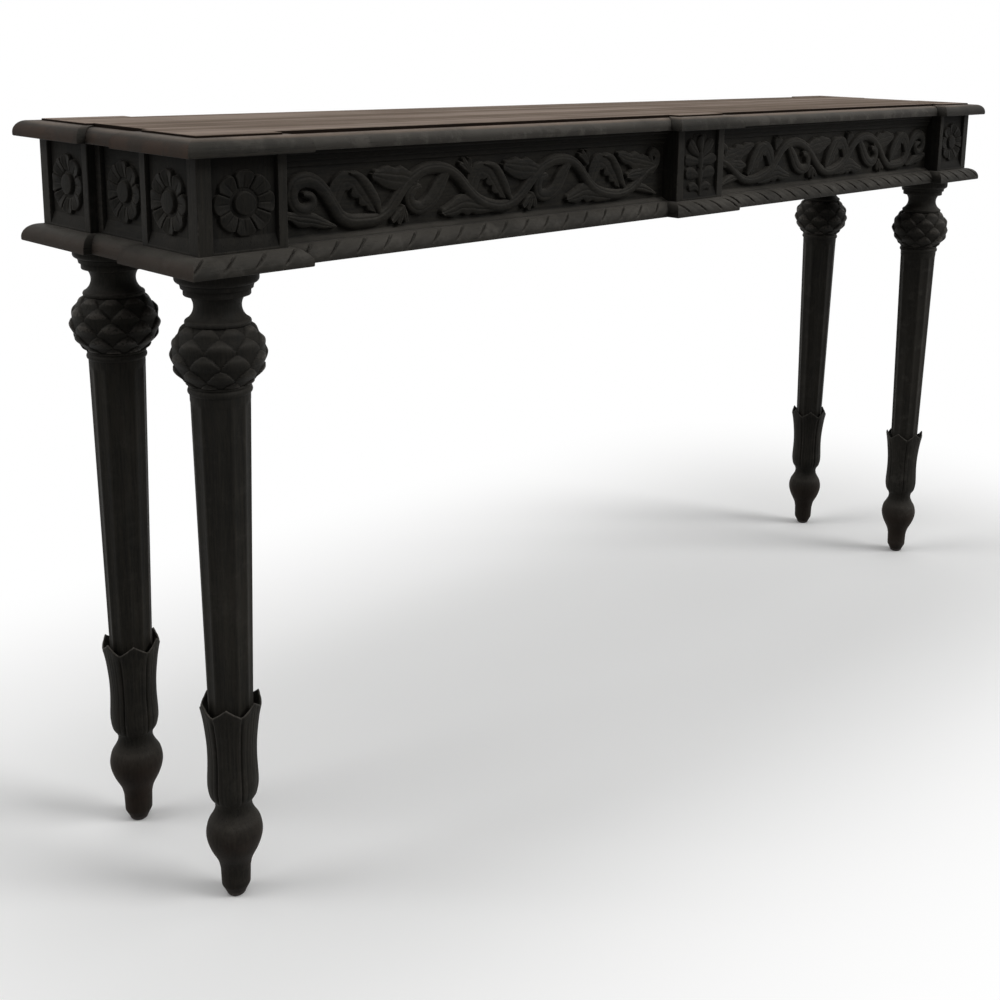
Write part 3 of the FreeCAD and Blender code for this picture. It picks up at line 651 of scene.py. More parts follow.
def carve_vine(board):
    board.stroke(start_leaf_line, leaf_rule, 2, 0.22, 1)
    for turn, slip in enumerate(crook_slips):
        board.stroke(shifted(blade_line, turn, slip), blade_rule, 6, 0.42, -1, 0.38)
        board.stroke(shifted(roll_line, turn, slip), roll_rule)
    for turn, (slip, leaf_slip) in enumerate(zip(crook_slips, leaf_slips)):
        board.stroke(shifted(top_leaf_line, turn, slip), leaf_rule, 2, 0.24, -1, 0.3)
        board.stroke(shifted(low_leaf_line, turn, leaf_slip), leaf_rule, 3, 0.28, 1, 0.3)
        board.stroke(shifted(curl_line, turn), curl_rule)
        for petal in bud_petals:
            board.stroke(shifted(petal, turn), bud_rule)
    board.stroke(end_leaf_line, leaf_rule, 3, 0.24)
    board.stroke(end_lobe_line, leaf_rule, 2, 0.25)
    for line, rule in ((end_tip_line, bud_rule), (stem_line, stem_rule), (end_curl_line, curl_rule)):
        board.stroke(line, rule)


carve_spacing = 0.9
vine_board = Board(panel_length / mm, (frame_top - rope_top) / mm, carve_spacing)
carve_vine(vine_board)
print("vine carved on", vine_board.height.size, "places, highest", round(vine_board.height.max(), 1), "mm")

# %% [markdown]
# ## Frieze panels
# The carving sits in a sunk bed: below, the ground slopes out to the rope moulding, and above, three small
# steps come forward under the top. The bed and the vine are added into one height map, and a fine ripple is
# laid over it because the ground was cleared with a gouge. The strip behind the rope moulding stays flat.

# %% Bed of the frieze
relief_depth = 9.0
bed_steps = ((84.0, 3.0), (91.0, 6.0), (98.0, 9.0))
bed_slope = 6.0
step_ease = 0.8
ripple_height = 0.16
vine_ripple, vine_ripple_scale = 0.6, 1.3
ripple_starts, ripple_ends = (4.0, 10.0), (80.0, 84.0)


def bed_height(h):
    """Height of the empty bed above its deepest ground, in millimetres."""
    height = relief_depth * (1 - soft_step(h, 0, bed_slope))
    for level, rise in bed_steps:
        height = np.maximum(height, rise * soft_step(h, level - step_ease, level + step_ease))
    return height


def ripple(s, h):
    """The uneven waves that a gouge leaves on cleared ground."""
    along = np.sin(s * 0.61 + 1.7 * np.sin(h * 0.19))
    return ripple_height * along * np.sin(h * 0.53 + 1.3 * np.sin(s * 0.11))


print("bed", relief_depth, "mm deep")

# %% Build both frieze panels
bed_dirt_and_shade, overhang_shadow = 0.15, 0.45
overhang_shade = (74.0, 90.0)


def border(grid):
    """The outermost row of places of a grid, all the way round."""
    return np.concatenate([grid[0], grid[1:, -1], grid[-1, -2::-1], grid[-2:0:-1, 0]])


def walled_relief(front, back):
    """A closed slab: a relief grid in front, walls round its edge and a flat back."""
    shell = Shell()
    face = shell.add(front)
    shell.skin(face)
    rear = shell.add(border(back))
    shell.skin(np.stack([border(face), rear]), wrap=True)
    shell.cap(rear)
    return shell


def shaded_bed(places):
    """Painted shade and some dirt over the panel, and a painted shadow of the top's overhang on the upper
    bed.
    """
    return bed_dirt_and_shade + overhang_shadow * soft_step((places[:, 2] - rope_top) / mm, *overhang_shade)


def build_frieze_panel(side_name, side):
    s, h = vine_board.s, vine_board.h
    bed = bed_height(h) + ripple(s, h) * soft_step(h, *ripple_starts) * (1 - soft_step(h, *ripple_ends))
    vine = vine_board.height + ripple(h * vine_ripple_scale, s * vine_ripple_scale) * vine_ripple
    height = np.minimum(np.maximum(bed, vine), relief_depth)
    x = side * (half_length - block_width - s * mm)
    front = np.stack([x, front_face + (relief_depth - height) * mm, rope_top + h * mm], -1)
    strip = front[:1].copy()
    strip[..., 1], strip[..., 2] = front_face, frame_bottom
    front = np.concatenate([strip, front])
    back = front.copy()
    back[..., 1] = bearer_front
    shell = walled_relief(front, back)
    piece = place_piece("carved_frieze_" + side_name, shell, "frieze_panel_" + side_name, wood_along)
    # Painted shade on the whole panel, darkest as a painted shadow under the top's overhang.
    spread(piece, "grime_and_shade", shaded_bed)


sides = {"left": -1, "right": 1}
rows = {"front": -1, "back": 1}
for side_name, side in sides.items():
    build_frieze_panel(side_name, side)

# %% [markdown]
# ## Rosettes and the centre flower
# A rosette of eight broad petals round a flat button sits in each sunk field. In polar terms it is simple:
# the angle within a petal says how far we are from its middle, and the radius how far from its root. Petals
# are a little hollow with rounded ends, and a thin gap parts them. The two on the front are drawn out to the
# width of their fields. The flower on the centre block, tiers of round lobes on a stem, is drawn with
# strokes, as the vine was. Only the raised places of a height map become faces, and walls close them down to
# the field.

# %% Height of a rosette
petal_count = 8
rosette_radius = 37.0
button_radius, button_height = 13.5, 7.0
petal_root, petal_rise, petal_droop = 3.0, 2.4, 0.9
petal_cupping, petal_rim = 1.5, 2.6
vein_depth, vein_width = 0.9, 0.09
petal_gap = 1.3


def rosette_height(a, b, radius):
    """Height in millimetres over a field, for places a across and b up from its middle."""
    reach = np.hypot(a, b) / radius
    turn = (np.arctan2(b, a) / math.tau * petal_count + 0.5) % 1 * 2 - 1
    aside = np.abs(turn)
    gap = (1 - aside) * reach * radius * math.pi / petal_count
    ends = soft_step((1 - 0.12 * aside ** 3.2 - reach) * radius, 0.0, petal_rim)
    rise = petal_root + petal_rise * soft_step(reach, 0.30, 0.85) - petal_droop * soft_step(reach, 0.90, 1.0)
    hollow = petal_cupping * np.clip(aside / 0.75, 0, 1) ** 2 * soft_step(reach, 0.35, 0.7)
    vein = vein_depth * np.exp(-(turn / vein_width) ** 2)
    vein *= soft_step(reach, 0.36, 0.5) * (1 - soft_step(reach, 0.70, 0.92))
    petals = (rise + hollow - vein) * (0.50 + 0.50 * soft_step(gap, 0.0, petal_gap)) * ends
    inner = reach * radius / button_radius
    button = button_height * (1 - 0.10 * inner ** 2) * (1 - soft_step(inner, 0.86, 1.02))
    moat = 1 - 0.80 * soft_step(1.30 - inner, 0.0, 0.2)
    return np.maximum(petals * moat, button)


rosette_spacing = 0.7
rosette_board = Board(2 * rosette_radius, 2 * rosette_radius, rosette_spacing)
from_middle = rosette_board.s - rosette_radius, rosette_board.h - rosette_radius
rosette_board.height = rosette_height(*from_middle, rosette_radius)
print("rosette stands", round(rosette_board.height.max(), 1), "mm out of its field")

# %% Draw the centre flower
flower_width, flower_height = 78.0, 90.0
flower_lobes = (
    [(3, -38, 4), (8, -34, 6), (15, -32, 7.5), (20, -33, 7)],
    [(8, -15, 6), (16, -13, 9), (23, -12, 10), (26, -12, 9.5)],
    [(8, 5, 6), (19, 6, 8), (27, 7, 9), (30, 7.5, 8.5)],
    [(6, 15, 5), (13, 21, 8), (20, 27, 9.5), (22, 29, 9.5)],
)
flower_ground = [(0, -34, 12), (0, -18, 23), (0, 0, 28), (0, 18, 26), (0, 30, 20)]
flower_core = [(0, -44, 5), (0, -28, 5), (0, -18, 8), (0, -12, 8.5), (0, -5, 5)]
flower_heart = [(0, 2, 8), (0, 6, 10), (0, 11, 8)]
flower_crest = [(0, 19, 4.5), (0, 28, 8.5), (0, 35, 8.5)]
lobe_rule = grooved(6.8, (0.0,), 0.5, 0.20, 0.52)
core_rule = grooved(7.6, (), 0.0, 0.12, 0.48)
ground_rule = grooved(3.2, (), 0.0, 0.12, 0.30)
flower_spacing = 0.7
flower_board = Board(flower_width, flower_height, flower_spacing)


def on_flower(points, side=1):
    """Points drawn from the flower's middle, on one side of it."""
    return [(flower_width / 2 + side * x, flower_height / 2 + y, width) for x, y, width in points]


for points in flower_lobes:
    for side in sides.values():
        flower_board.stroke(on_flower(points, side), lobe_rule)
flower_board.stroke(on_flower(flower_ground), ground_rule)
for points in (flower_core, flower_heart, flower_crest):
    flower_board.stroke(on_flower(points), core_rule)
print("flower stands", round(flower_board.height.max(), 1), "mm out of its field")

# %% Hang the rosettes and the flower
thinnest = 0.12
front_field_dirt_and_shade, end_field_dirt_and_shade = 0.50, 0.30
front_stretch = 1.085


def raised_relief(board, to_place):
    """A closed body of the raised places of a board; to_place puts (s, h, height) in the frame."""
    shell = Shell()
    tall = board.height > thinnest
    cells = tall[:-1, :-1] | tall[:-1, 1:] | tall[1:, :-1] | tall[1:, 1:]
    front = shell.add(to_place(board.s, board.h, np.maximum(board.height, thinnest)))
    rear = shell.add(to_place(board.s, board.h, np.zeros_like(board.height)))
    used = np.pad(cells, 1)
    for i, j in np.argwhere(cells):
        corners = [(i, j), (i, j + 1), (i + 1, j + 1), (i + 1, j)]
        shell.cap([front[c] for c in corners])
        shell.cap([rear[c] for c in reversed(corners)])
        beside = (used[i, j + 1], used[i + 1, j + 2], used[i + 2, j + 1], used[i + 1, j])
        for number, filled in enumerate(beside):
            if not filled:
                here, there = corners[number], corners[(number + 1) % 4]
                shell.cap([front[there], front[here], rear[here], rear[there]])
    return shell


def hang_relief(name, node, board, stretch=1.0):
    """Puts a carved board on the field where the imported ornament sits, facing the same way."""
    low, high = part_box(node)
    middle = (low + high) / 2
    size = high - low
    on_front = size.y < size.x
    out = -1 if on_front or middle.x < 0 else 1
    scale = mm if on_front else size.z / board.up[-1]

    def to_place(s, h, height):
        a = (s - board.across[-1] / 2) * scale * stretch
        z = middle.z + (h - board.up[-1] / 2) * scale
        if on_front:
            return np.stack([middle.x + a, high.y - height * scale, z], -1)
        base = high.x if out < 0 else low.x
        return np.stack([base + out * height * scale, middle.y + a, z], -1)

    piece = place_piece(name, raised_relief(board, to_place), node, wood_shaded)
    # Painted shade with some dirt on the sunk rosettes and flower, darker on the front than on the ends.
    spread(piece, "grime_and_shade", lambda places: front_field_dirt_and_shade if on_front else end_field_dirt_and_shade)


for node in sorted(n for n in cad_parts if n.startswith("rosette_")):
    stretch = front_stretch if node.startswith("rosette_front") else 1.0
    hang_relief("carved_" + node, node, rosette_board, stretch)
hang_relief("carved_flower", "centre_flower", flower_board)

# %% [markdown]
# ## Turned legs
# Each leg was turned on a lathe and then carved. A revolved outline alone would lose the carving, so the leg
# is a grid of rings in which each point may move in or out with its angle: overlapping scales on the ball,
# faint flutes on the shaft and grooved leaves on the cup. The cup is open at the top, so its rings climb the
# outside of the leaves, turn over their pointed tips and go down again to the shaft.

# %% Outline of the leg
turns = 216
angle = np.arange(turns) * math.tau / turns


def straight(start, end, count):
    return np.linspace(start, end, count)


def bowed(start, through, end, count):
    """Places on the circle through three places of an outline."""
    (ax, ay), (bx, by), (cx, cy) = start, through, end
    d = 2 * (ax * (by - cy) + bx * (cy - ay) + cx * (ay - by))
    a2, b2, c2 = ax * ax + ay * ay, bx * bx + by * by, cx * cx + cy * cy
    ux = (a2 * (by - cy) + b2 * (cy - ay) + c2 * (ay - by)) / d
    uy = (a2 * (cx - bx) + b2 * (ax - cx) + c2 * (bx - ax)) / d
    first, middle, last = [math.atan2(y - uy, x - ux) for x, y in (start, through, end)]
    sweep = (last - first) % math.tau
    if (middle - first) % math.tau > sweep:
        sweep -= math.tau
    turn = first + sweep * np.linspace(0, 1, count)
    radius = math.hypot(ax - ux, ay - uy)
    return np.stack([ux + radius * np.cos(turn), uy + radius * np.sin(turn)], -1)


def flowed(places, count):
    line = flowing(places)
    return line[np.linspace(0, len(line) - 1, count).astype(int)]


shaft_level, shaft_top, ring_top, ball_top, bead_top = 232.0, 626.0, 638.0, 704.0, 710.0
neck_top, step_top, collar_level, collar_top = 737.0, 745.0, 751.0, frame_bottom / mm
shaft_foot_radius, shaft_top_radius = 25.8, 33.5
toe_outline = np.concatenate([
    straight((12.5, 6.0), (16.2, 13.2), 4), bowed((16.2, 13.2), (16.8, 14.6), (17.0, 16.4), 4),
    straight((17.1, 18.0), (17.7, 35.0), 5)])
foot_outline = flowed([(17.8, 37.0), (20.6, 48.5), (28.2, 64.0), (32.2, 76.0), (33.1, 86.5), (30.6, 98.0),
                       (26.0, 106.0), (22.6, 113.0), (21.4, 119.0)], 52)
cup_outline = flowed([(21.7, 122.0), (23.2, 126.5), (27.4, 133.0), (29.6, 143.0), (29.9, 153.0),
                      (29.2, 168.0), (28.8, 182.0), (29.2, 199.0), (30.6, 216.0), (32.8, 236.0),
                      (35.6, 255.6)], 110)
ring_outline = np.concatenate([bowed((33.6, shaft_top), (35.7, 629.6), (33.8, 633.4), 9),
                               bowed((33.3, 634.2), (35.2, 636.0), (34.0, 637.8), 6)])
neck_outline = np.concatenate([
    bowed((35.0, ball_top + 0.2), (36.4, 707.0), (35.0, bead_top - 0.2), 9),
    bowed((34.4, bead_top), (26.2, 724.5), (31.0, neck_top), 22),
    straight((35.0, neck_top + 0.1), (36.2, neck_top + 0.4), 2),
    straight((36.7, neck_top + 1.2), (36.7, step_top - 1.0), 3),
    straight((36.3, step_top - 0.2), (39.4, step_top), 2),
    bowed((39.4, step_top), (40.0, 748.2), (41.0, collar_level), 5),
    bowed((41.2, collar_level), (44.6, 752.5), (46.0, 756.0), 8),
    straight((46.0, 757.0), (46.0, collar_top), 5)])
print("leg from", toe_outline[0, 1], "to", collar_top, "mm")

# %% Scales of the ball
scale_count = 9
scale_rows = 5
scale_length = 1.6
scale_taper, scale_point = 0.85, 0.62
scale_relief = 3.6
ball_end_radius, ball_radius = 37.4, 53.9


def scale_height(turn, climb):
    """Height of overlapping scales; turn is the angle in scale widths, climb the height in rows."""
    height = np.zeros_like(turn)
    free = np.ones_like(turn, bool)
    for row in range(-2, scale_rows + 1):
        local = (turn + 0.5 * (row % 2)) % 1 * 2 - 1
        up = (climb - row) / scale_length
        below = (1 - up) * scale_length
        width = np.clip(below / scale_taper, 0, 1) ** scale_point
        inside = free & (up >= 0) & (up < 1) & (np.abs(local) < width)
        pillow = 0.50 + 0.50 * soft_step(below, 0.0, 0.42) - 0.95 * soft_step(below, 0.40, 1.15)
        rounding = 1 - 0.40 * np.abs(local / np.maximum(width, 0.05)) ** 2.5
        height = np.where(inside, np.maximum(pillow * rounding, 0.05), height)
        free &= ~inside
    return np.clip(height, 0, 1) * scale_relief


ball_rows = 116
ball_middle = (ball_radius, (ring_top + ball_top) / 2)
ball_outline = bowed((ball_end_radius, ring_top), ball_middle, (ball_end_radius, ball_top), ball_rows)
ball_climb = np.linspace(0.05, scale_rows - 0.62, ball_rows)
ball_turn = angle / math.tau * scale_count
ball_scales = scale_height(*np.broadcast_arrays(ball_turn[None, :], ball_climb[:, None]))
print("ball:", scale_count, "scales around,", scale_rows, "rows")

# %% Leaves of the cup
leaf_count = 6
leaf_dip = 12.5
leaf_thick = 2.2
leaf_turn = (angle / math.tau * leaf_count) % 1 * 2 - 1
parting_depth, parting_width = 2.0, 0.085
vein_cut, side_vein_width, mid_vein_width = 0.5, 0.07, 0.06
leaf_hollow = 0.35
rim_draw = 0.2
rim_steps = ((0.3, 1.0), (1.0, 1.5), (leaf_thick, 0.9))


def leaf_carving(climb):
    """How far the cup's outside is cut back, for each share of its height and each angle."""
    leaf, climb = np.broadcast_arrays(leaf_turn[None, :], climb)
    aside = np.abs(leaf)
    parting = parting_depth * np.exp(-((1 - aside) / parting_width) ** 2)
    parting *= 1 - 0.6 * soft_step(climb, 0.88, 1.0)
    veins = vein_cut * np.exp(-((aside - 0.55) / side_vein_width) ** 2) * (1 - soft_step(climb, 0.80, 0.97))
    middle = vein_cut * np.exp(-(leaf / mid_vein_width) ** 2)
    middle *= soft_step(climb, 0.25, 0.5) * (1 - soft_step(climb, 0.86, 0.98))
    hollow = leaf_hollow * (1 - soft_step(np.abs(aside - 0.28), 0.0, 0.2)) * soft_step(climb, 0.3, 0.6)
    return (parting + veins + middle + hollow) * soft_step(climb, 0.03, 0.14)


def cup_rings():
    """Rings up the outside of the leaves, over their tips and down inside to the shaft."""
    share = np.linspace(0, 1, len(cup_outline))[:, None]
    radius = cup_outline[:, :1] - leaf_carving(share)
    rim_drop = leaf_dip * np.abs(leaf_turn) ** 0.92
    level = cup_outline[:, 1:] - rim_drop[None, :] * share ** 5
    edge, top = radius[-1] - rim_draw, level[-1]
    rim_radius, rim_level = [edge - back for back, up in rim_steps], [top + up for back, up in rim_steps]
    down = np.linspace(0.06, 1, 12)[:, None]
    inner_radius = rim_radius[-1] * (1 - down) + shaft_foot_radius * down
    inner_level = top * (1 - down) + shaft_level * down
    return np.concatenate([radius, rim_radius, inner_radius]), np.concatenate([level, rim_level, inner_level])


print("cup:", leaf_count, "leaves")

# %% Flutes of the shaft
flute_count = 12
flute_depth = 1.3
flute_share = 0.88
flute_end = 14.0


def shaft_rings():
    level = np.concatenate([np.linspace(shaft_level + 2, shaft_top - flute_end, 60),
                            np.linspace(shaft_top - flute_end + 2, shaft_top - 0.5, 8)])
    climb = (level - shaft_level) / (shaft_top - shaft_level)
    size = shaft_foot_radius + (shaft_top_radius - shaft_foot_radius) * climb
    flute = (angle / math.tau * flute_count) % 1 * 2 - 1
    depth = flute_depth * (1 - soft_step(level, shaft_top - flute_end, shaft_top - flute_end / 2))
    hollow = np.clip(1 - np.abs(flute / flute_share) ** 2, 0, 1)
    radius = size[:, None] - depth[:, None] * hollow[None, :]
    return radius, np.repeat(level[:, None], turns, 1)


def plain_rings(outline):
    return np.repeat(outline[:, :1], turns, 1), np.repeat(outline[:, 1:], turns, 1)


print("shaft:", flute_count, "flutes")

# %% Build the four legs
# Each leg takes a copy of the wood: the right front one paler as painted light, the back left one unfaded as
# painted shade.
legs = {"front_left": (18.5, wood_upright), "front_right": (39.3, wood_dusty_and_lit),
        "back_left": (36.0, wood_shaded), "back_right": (8.0, wood_upright)}
leg_sharp = 50.0
scale_gap_dirt_and_shade, scale_wear_and_highlight = 0.44, 0.80
gap_depth, crown_depth = (0.68, 1.0), (0.02, 0.62)
off_ball_depth = 0.5
neck_shadow_share = 0.42
neck_shade, cup_shade = (88.0, 112.0), (119.0, 128.0)


def leg_rings():
    ball = ball_outline[:, :1] - scale_relief + ball_scales, np.repeat(ball_outline[:, 1:], turns, 1)
    parts = [plain_rings(np.concatenate([toe_outline, foot_outline])), cup_rings(), shaft_rings(),
             plain_rings(ring_outline), ball, plain_rings(neck_outline)]
    return np.concatenate([r for r, z in parts]), np.concatenate([z for r, z in parts])


def foot_neck_shadow(places):
    """Painted shadow of the cup round the neck of the foot."""
    level = places[:, 2] / mm
    return neck_shadow_share * soft_step(level, *neck_shade) * (1 - soft_step(level, *cup_shade))


def build_leg(place, degrees, finish):
    low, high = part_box("leg_" + place)
    x, y = (low.x + high.x) / 2, (low.y + high.y) / 2
    radius, level = leg_rings()
    turn = angle[None, :] + math.radians(degrees)
    shell = Shell()
    shell.tube(np.stack([x + radius * mm * np.cos(turn), y + radius * mm * np.sin(turn), level * mm], -1))
    piece = place_piece("turned_leg_" + place, shell, "leg_" + place, finish, sharp=leg_sharp)

    def scale_depth(places):
        """How deep a place lies between the scales: 0 on their crowns, 1 in the gaps, half off the ball."""
        reach = np.hypot(places[:, 0] - x, places[:, 1] - y) / mm
        full = np.interp(places[:, 2] / mm, ball_outline[:, 1], ball_outline[:, 0], 0.0, 0.0)
        return np.where(full > 0, (full - reach) / scale_relief, off_ball_depth)

    # Painted shade with some dirt in the gaps between the scales, and a painted highlight with some wear on
    # their crowns.
    spread(piece, "grime_and_shade", lambda places: scale_gap_dirt_and_shade * soft_step(scale_depth(places), *gap_depth))
    spread(piece, "grime_and_shade", foot_neck_shadow)
    spread(piece, "wear", lambda places: scale_wear_and_highlight * (1 - soft_step(scale_depth(places), *crown_depth)))


for place, (degrees, finish) in legs.items():
    build_leg(place, degrees, finish)

# %% [markdown]
# ## Mouldings
# Two mouldings run round the table: a plain thumb round the top, and a heavier one under the frieze. Both
# are straight lengths with mitred ends. Each length is a grid: one direction follows the outline of the
# moulding and the other runs along the wall, and at a mitre the outer places reach further than the inner
# ones. Slanting nicks make the lower one look like rope on the long lengths of the front. They lean one way
# to the left of the centre block and the other way from there on. The inner mitres are darkened with
# painted shade.

# %% Follow the wall
x, y, w = half_length, half_depth, block_width
wall_line = [
    (-x, -y, "front_left_corner"), (-x + w, -y, "front_left_corner"), (-x + w, front_face, "front_left_run"),
    (-centre_half, front_face, "centre"), (-centre_half, -y, "centre"), (centre_half, -y, "centre"),
    (centre_half, front_face, "front_right_run"), (x - w, front_face, "front_right_corner"),
    (x - w, -y, "front_right_corner"), (x, -y, "front_right_corner"), (x, -y + w, "front_right_corner"),
    (end_face, -y + w, "right_end_run"), (end_face, y - w, "back_right_corner"),
    (x, y - w, "back_right_corner"), (x, y, "back_right_corner"), (x - w, y, "back_right_corner"),
    (x - w, rail_back, "back_run"), (-x + w, rail_back, "back_left_corner"), (-x + w, y, "back_left_corner"),
    (-x, y, "back_left_corner"), (-x, y - w, "back_left_corner"), (-end_face, y - w, "left_end_run"),
    (-end_face, -y + w, "front_left_corner"), (-x, -y + w, "front_left_corner"),
]


def plan_lines(corners):
    """Directions along and out of each side of a plan, lengths, and where an offset corner moves."""
    along = np.roll(corners, -1, 0) - corners
    length = np.linalg.norm(along, axis=1)
    along /= length[:, None]
    out = np.stack([along[:, 1], -along[:, 0]], -1)
    before = np.roll(out, 1, 0)
    return along, out, length, (out + before) / (1 + (out * before).sum(1))[:, None]


wall = np.array([(px, py) for px, py, place in wall_line])
wall_along, wall_out, wall_length, wall_mitre = plan_lines(wall)
print("wall line:", round(wall_length.sum(), 2), "m round the table")

# %% Outlines of the mouldings
lip_steps = ((1.6, 0.0), (0.5, 0.4), (0.05, 1.4))
shoulder_share = 0.4


def thumb(inner, outer, low, high, flat, shoulder, count):
    """Front of a thumb moulding from its lower back edge round to its upper one: out and up, in mm."""
    t = np.linspace(0, math.pi / 2, count)
    curve = np.stack([inner + shoulder + (outer - inner - shoulder) * np.cos(t),
                      low + flat + (high - low - flat) * np.sin(t)], -1)
    under = [(inner, low)] + [(outer - back, low + up) for back, up in lip_steps]
    return np.concatenate([under, curve, [(inner + shoulder * shoulder_share, high), (inner, high)]])


def moulding_rings(number, outline, step, cut):
    """Rings of points along one mitred length; cut takes wood off each place, in millimetres."""
    start, along, out = wall[number], wall_along[number], wall_out[number]
    first, last = wall_mitre[number] @ along, wall_mitre[(number + 1) % len(wall)] @ along
    share = np.linspace(0, 1, max(int(wall_length[number] / step), 3) + 1)[:, None]
    reach = outline[None, :, 0] * mm
    distance = (1 - share) * reach * first + share * (wall_length[number] + reach * last)
    slope = np.gradient(outline, axis=0)
    slope /= np.linalg.norm(slope, axis=1)[:, None]
    depth = cut(distance / mm, start[0] + along[0] * distance, out)
    away = (outline[None, :, 0] - depth * slope[None, :, 1]) * mm
    level = (outline[None, :, 1] + depth * slope[None, :, 0]) * mm
    plan = start + distance[..., None] * along + away[..., None] * out
    return np.concatenate([plan, level[..., None]], -1)


print("outlines ready")

# %% Cuts in the mouldings
nick_pitch = 38.5
nick_lean = 30.0
nick_start = 25.0
nick_depth = 4.2
nick_steep, nick_shallow = 1.6, 3.4
strand_puff = 1.0
shortest_rope = 70.0
plane_wave = 0.12
rope_curve = 20
top_drops = (2.5, 4.2)
top_outlines = [thumb(-3.0, 22.0, frame_top / mm, table_top / mm - drop, 4.0, 12.0, 16) for drop in top_drops]
rope_outline = thumb(0.0, 20.0, frame_bottom / mm, rope_top / mm, 4.0, 2.0, rope_curve)
rope_share = np.clip((np.arange(len(rope_outline)) - len(lip_steps)) / rope_curve, 0, 1)


def plain_cut(distance, x_place, out):
    """The slight waviness of a hand plane, away from the back edges."""
    count = distance.shape[1]
    places = np.arange(count)
    fade = soft_step(places, 1, 4) * (1 - soft_step(places, count - 4, count - 2))
    return plane_wave * (1 + np.sin(distance * 0.043 + x_place * 9.0)) * fade[None, :]


def rope_cut(distance, x_place, out):
    """Slanting nicks on the front, deepest half way up and fading out at the lower and upper edge."""
    if out[1] > -0.5 or np.ptp(distance) < shortest_rope:
        return plain_cut(distance, x_place, out)
    lean = 1.0 if x_place.mean() < -centre_half else -1.0
    strand = (distance + nick_start - lean * nick_lean * rope_share[None, :]) / nick_pitch + 0.5
    side = (strand - np.floor(strand) - 0.5) * nick_pitch * lean
    fade = soft_step(rope_share, 0.02, 0.30) * (1 - soft_step(rope_share, 0.62, 0.94))
    notch = np.where(side < 0, 1 + side / nick_steep, 1 - side / nick_shallow)
    puff = strand_puff * (2 * side / nick_pitch) ** 2
    return (nick_depth * np.clip(notch, 0, 1) ** 1.2 + puff) * fade[None, :]


print("a nick every", nick_pitch, "mm,", nick_depth, "mm deep")

# %% Build both mouldings
inner_corners = [i for i in range(len(wall)) if wall_along[i - 1] @ wall_out[i] < 0]
mitre_dark, mitre_width, mitre_length = 0.55, 10 * mm, 50 * mm
top_step = 8.0 * mm
rope_step = 1.0 * mm


def mitre_shade(places):
    """Painted shade beside the mitres of the inner corners."""
    nearest = np.full(len(places), np.inf)
    for number in inner_corners:
        away = places[:, :2] - wall[number]
        line = wall_mitre[number] / np.linalg.norm(wall_mitre[number])
        beside = away - np.maximum(away @ line, 0)[:, None] * line
        distance = np.linalg.norm(beside, axis=1) + np.maximum(away @ line - mitre_length, 0)
        nearest = np.minimum(nearest, distance)
    return mitre_dark * np.exp(-(nearest / mitre_width) ** 2)


def build_mouldings(name, outlines, step, cut, along_finish, deep_finish, run_finish):
    """Mitred sets round the table; the last outline is for the long runs between the blocks."""
    sets = {}
    for number, (px, py, place) in enumerate(wall_line):
        outline = outlines[-1] if place.endswith("run") else outlines[0]
        sets.setdefault(place, Shell()).tube(moulding_rings(number, outline, step, cut))
    for place, shell in sets.items():
        finish = run_finish if place.endswith("run") else along_finish
        finish = deep_finish if place.endswith("end_run") else finish
        piece = place_piece(name + "_length_" + place, shell, name + "_moulding_" + place, finish)
        spread(piece, "grime_and_shade", mitre_shade)


build_mouldings("top", top_outlines, top_step, plain_cut, edge_along, edge_deep, edge_run_sheen)
build_mouldings("rope", [rope_outline], rope_step, rope_cut, rope_along, rope_deep, rope_along)

# %% [markdown]
# ## Blocks and end panels
# The square blocks over the legs and the panels between them have sunk fields with crisp, slightly rubbed
# edges. A box with rounded edges is easy to work out: pull each place on its surface back inside by the
# radius, then push it out again along the line between the two. The fields are pressed into the same grid,
# with extra lines of points at their borders. Each field slopes out at its foot, and is darkened by painted
# shade and some dirt, most along its borders.

# %% Lines of points on a box
edge_ease = 1.3 * mm
ease_shares = (0.0, 0.45, 0.8, 1.0)
field_bevel = 1.2 * mm
mark_gap = 0.6 * mm
bevel_steps = (-mark_gap, 0.0, field_bevel / 2, field_bevel, field_bevel + mark_gap)
widest_gap = 9 * mm


def stations(low, high, marks):
    """Places along one edge of a box: close together at its ends and at marks, spread out between."""
    close = [low + edge_ease * share for share in ease_shares]
    close += [high - edge_ease * share for share in ease_shares]
    for mark, inwards in marks:
        close += [mark + inwards * step for step in bevel_steps]
    close = np.unique(np.round(close, 6))
    counts = np.maximum((np.diff(close) / widest_gap).astype(int), 1)
    gaps = [np.linspace(*ends, endpoint=False) for ends in zip(close, close[1:], counts)]
    return np.concatenate(gaps + [close[-1:]])


print("edges eased by", round(edge_ease / mm, 1), "mm")

# %% Boxes with eased edges and sunk fields
field_foot = 15 * mm
sunk_depth = 5 * mm


def sunk_share(field, across, up):
    """How far each place of a face has gone down into its field, from 0 to 1."""
    (left, foot), (right, head) = field
    inside = np.minimum(across - left, right - across)[:, None] / field_bevel
    inside = np.minimum(inside, np.minimum((head - up) / field_bevel, (up - foot) / field_foot))
    return np.clip(inside, 0, 1)


